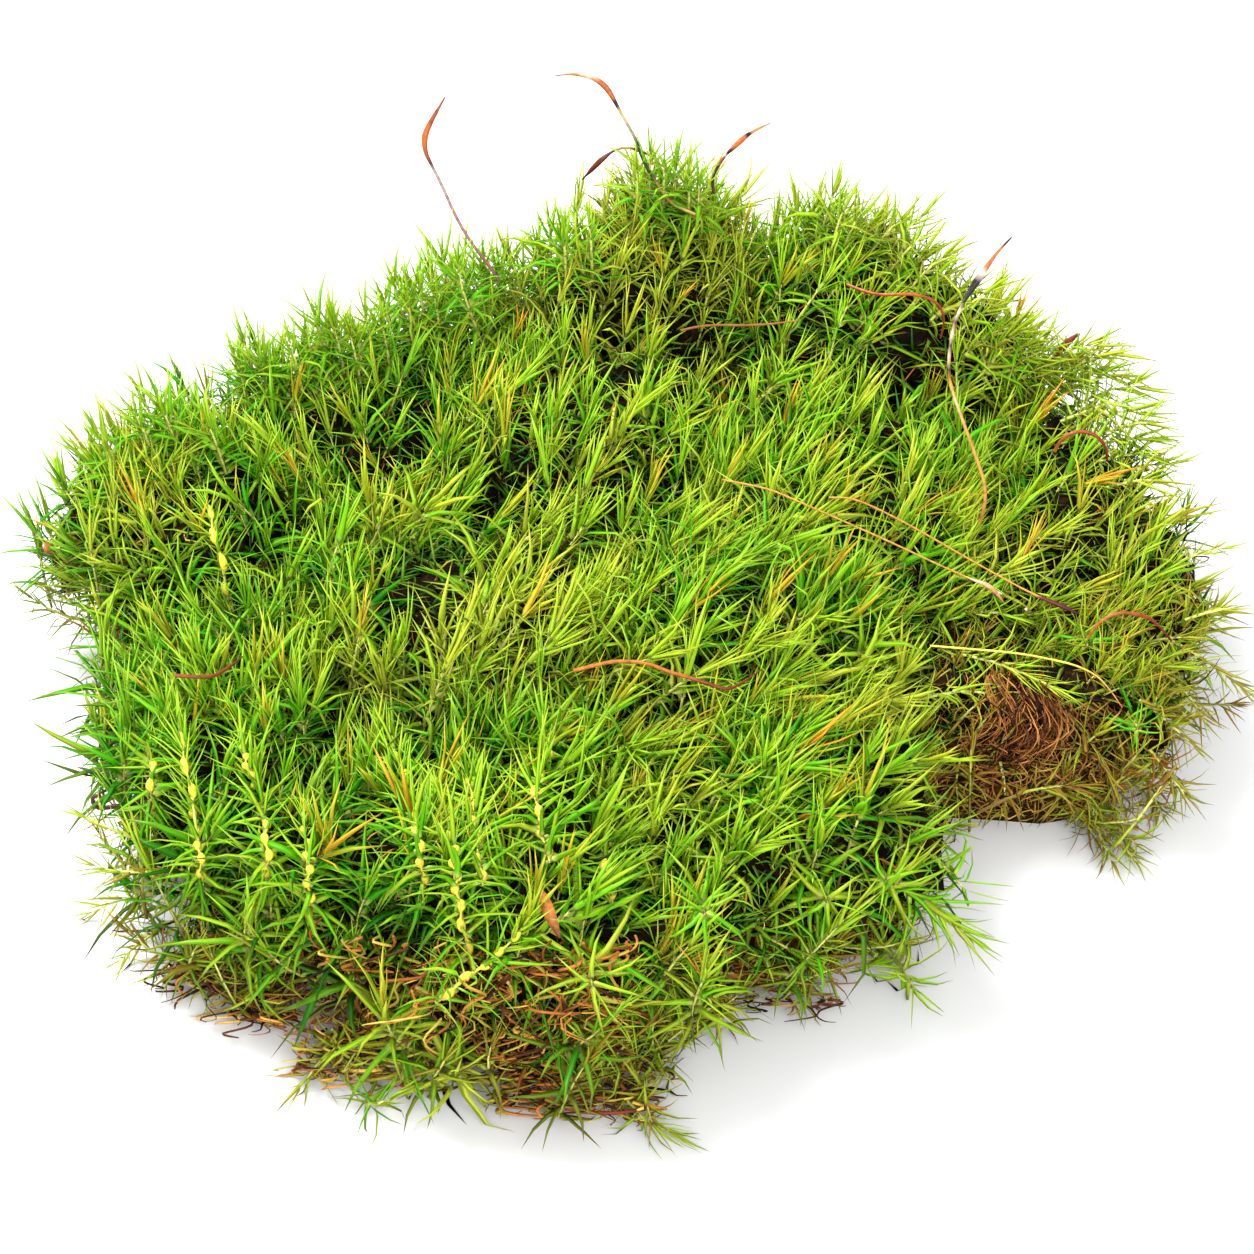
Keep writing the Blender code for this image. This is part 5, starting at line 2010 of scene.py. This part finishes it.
BARK = ((0.0, "#8A4A20"), (0.5, "#B87034"), (1.0, "#6A3418"))
RED_TWIG = ((0.0, "#6A2A18"), (0.5, "#8A3A22"), (1.0, "#5A2414"))
PINK_BIT = ((0.0, "#D8B8A8"), (0.5, "#8A4A3A"), (1.0, "#E0CCC0"))
LITTER = (
    Litter("bark_scale", ((541, 890), (550, 912), (560, 938)), (0.2, 0.75, 0.85, 0.6, 0.15), BARK, 9.0, 3),
    Litter("front_twig", ((505, 1096), (545, 1101), (600, 1113), (655, 1108)), (0.32, 0.36, 0.30, 0.22),
        RED_TWIG, 2.5),
    Litter("curl_left", ((120, 812), (104, 808), (94, 804), (93, 797), (100, 796), (102, 803)),
        (0.3, 0.28, 0.2), ((0.0, "#3A1A10"), (1.0, "#5A2A18")), 3.0),
    Litter("needle_front_left", ((125, 849), (145, 869), (164, 880), (183, 886)), (0.16, 0.3, 0.28, 0.12),
        RED_TWIG, 5.5),
    Litter("dried_tip", ((1034, 392), (1052, 362), (1066, 344), (1078, 334)), (0.2, 0.3, 0.55, 0.2), RED_TWIG,
        5.0),
    Litter("capsule_bit_one", ((983, 581), (991, 590), (1002, 594)), (0.2, 0.5, 0.35, 0.15), PINK_BIT, 7.0),
    Litter("capsule_bit_two", ((1026, 609), (1034, 616), (1042, 617)), (0.2, 0.4, 0.3, 0.15), PINK_BIT, 7.0),
    Litter("red_leaf_left", ((186, 447), (190, 434), (193, 420)), (0.16, 0.3, 0.22, 0.1), RED_TWIG, 8.0),
    Litter("brown_bit_left", ((38, 560), (48, 546), (60, 544)), (0.3, 0.7, 0.5, 0.3), BARK, 4.0),
)


FINISHES = {
    "leaf": LeafFinish(),
    "stem": StalkFinish("moss_stem", (
        (0.0, "#4A3416"), (0.35, "#66601E"), (0.6, "#98A03C"), (1.0, "#C9CC6E")), 0.5, 0.7, 0.7, 1.1),
    # The beads' pale yellow is partly the leaf feet's own colour and partly painted highlight.
    "sheath": StalkFinish("swollen_leaf_foot", (
        (0.0, "#B0A030"), (0.5, "#D8CA3C"), (1.0, "#98A82C")), 0.4, 0.7, 0.75, 1.1),
    # The felt's near-black browns are partly its own colour and partly painted shade for the gaps between the
    # shoots.
    "felt": MottledFinish("brown_felt", (
        (0.3, "#060402"), (0.5, "#100A04"), (0.62, "#26180A"), (0.8, "#4A2E14")), 4.0, 0.9, 0.95, 0.5),
    "earth": MottledFinish("root_felt", (
        (0.3, "#0E0804"), (0.5, "#24160A"), (0.62, "#4A2E16"), (0.8, "#7A5028")), 4.0, 0.8, 0.95, 0.6),
    "curl": CurlFinish("dead_curl", (
        (0.0, "#1E1208"), (0.25, "#5A3216"), (0.5, "#B87030"), (0.7, "#8E7E2E"), (0.85, "#A8A03C"),
        (1.0, "#D8A850"))),
    "strand": CurlFinish("withered_strand", (
        (0.0, "#140A04"), (0.35, "#3A1C0C"), (0.6, "#764420"), (0.85, "#B87A40"), (1.0, "#7E7030"))),
    "fading": CurlFinish("withering_leaf", (
        (0.0, "#4A3A14"), (0.35, "#8E6A26"), (0.6, "#9C9430"), (0.8, "#7C962A"), (1.0, "#B0702E")),
        0.5, "along"),
    # The undergrowth leaves' dark greens are painted shade for the gaps between the shoots.
    "under": CurlFinish("shaded_leaf", (
        (0.0, "#0E2606"), (0.35, "#20480C"), (0.65, "#3A6612"), (0.85, "#5E7420"), (1.0, "#5A4018")),
        0.5, "along"),
}
PICKED_CARRIERS = ("moss_tuft_front", "moss_tuft_left_front", "moss_tuft_left", "moss_tuft_back_left",
                   "moss_tuft_back_hump", "moss_tuft_back_right", "moss_tuft_right_edge")


def main() -> None:
    """Build every sub-assembly in order."""
    logging.basicConfig(level=logging.INFO, format="%(message)s")
    noise.seed_set(NOISE_SEED)  # without it the noise vectors are shifted by the clock, and each run differs
    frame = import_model()
    studio = Studio()
    studio.build()
    nodes = frame["nodes"]
    finishes = {key: finish.build() for key, finish in FINISHES.items()}
    leaf_set = LeafSet()
    leaves = leaf_set.build()
    tubes = TubeTree().build()
    growth = Growth(ShootTree(tubes).build(), tubes, leaves, finishes)
    strew = ScatterTree().build()
    curls = CurlSet().build(tubes, finishes["curl"])
    for tuft in (*TUFTS, DEAD_TUFT):
        tuft.find_shoots(nodes[tuft.node_name()])
    comb_field = CombField(TUFTS, studio, HOLLOWS)
    for tuft in TUFTS:
        tuft.fill_walls(nodes[tuft.node_name()], comb_field)
    pieces = [tuft.build(comb_field, growth) for tuft in (*TUFTS, DEAD_TUFT)]
    core = FeltCore([*TUFTS, DEAD_TUFT]).build(nodes, finishes["felt"])
    mat = RootMat().build(nodes, finishes["earth"])
    pieces += [core, mat]
    for strewn, carriers, patch, plain, finish in ((Strewn("foot_leaves", Slot.DEAD_MOSS, 3.0 * MM, 5.5 * MM,
            2500, 24, 1.2, 1.2), (core, mat), (0.8, 15.0, 0.9), True, "fading"),
            (Strewn("root_curls", Slot.ROOT_MAT, 0.35, 0.8, 1900, 21, 0.9, 0.9), (core, mat),
            (0.6, 17.0, 0.9), False, "curl"), (Strewn("dead_leaf_curls", Slot.DEAD_MOSS, 0.35, 0.75, 600, 23,
            1.2, 0.8), (core,), (17.0, 70.0, 1.1), False, "curl"),
            (Strewn("undergrowth", Slot.MOSS, 4.0 * MM, 8.0 * MM, 9500, 22, 1.2, 1.2), (core,),
            (12.0, 70.0, 1.1), True, "under")):
        shapes = leaf_set.undergrowth(leaves) if plain else curls
        pieces.append(strewn.build(patch_of(carriers, *patch), shapes, strew, finishes[finish]))
    ground = bmesh.new()
    for piece in (core, mat):
        ground.from_mesh(piece.data)
    sight = Sightline(studio, BVHTree.FromBMesh(ground))
    ground.free()
    picked = PickedShoots(PICKED, PICKED_CARRIERS)
    pieces += [picked.build(sight, growth), picked.bead_strings(sight, growth)]
    pieces += [strands.build(sight, growth) for strands in STRANDS]
    pieces += [bit.build(sight, tubes) for bit in LITTER]
    pieces += [stalk.build(nodes, tubes) for stalk in STALKS]
    for shape in [*leaves.objects, *curls.objects]:
        bpy.data.objects.remove(shape)
    counts = [sum(len(face.vertices) - 2 for face in piece.data.polygons) for piece in pieces]
    for piece, count in zip(pieces, counts):
        log.info("%s: %d triangles", piece.name, count)
    log.info("triangles in all: %d", sum(counts))


if __name__ == "__main__":
    main()
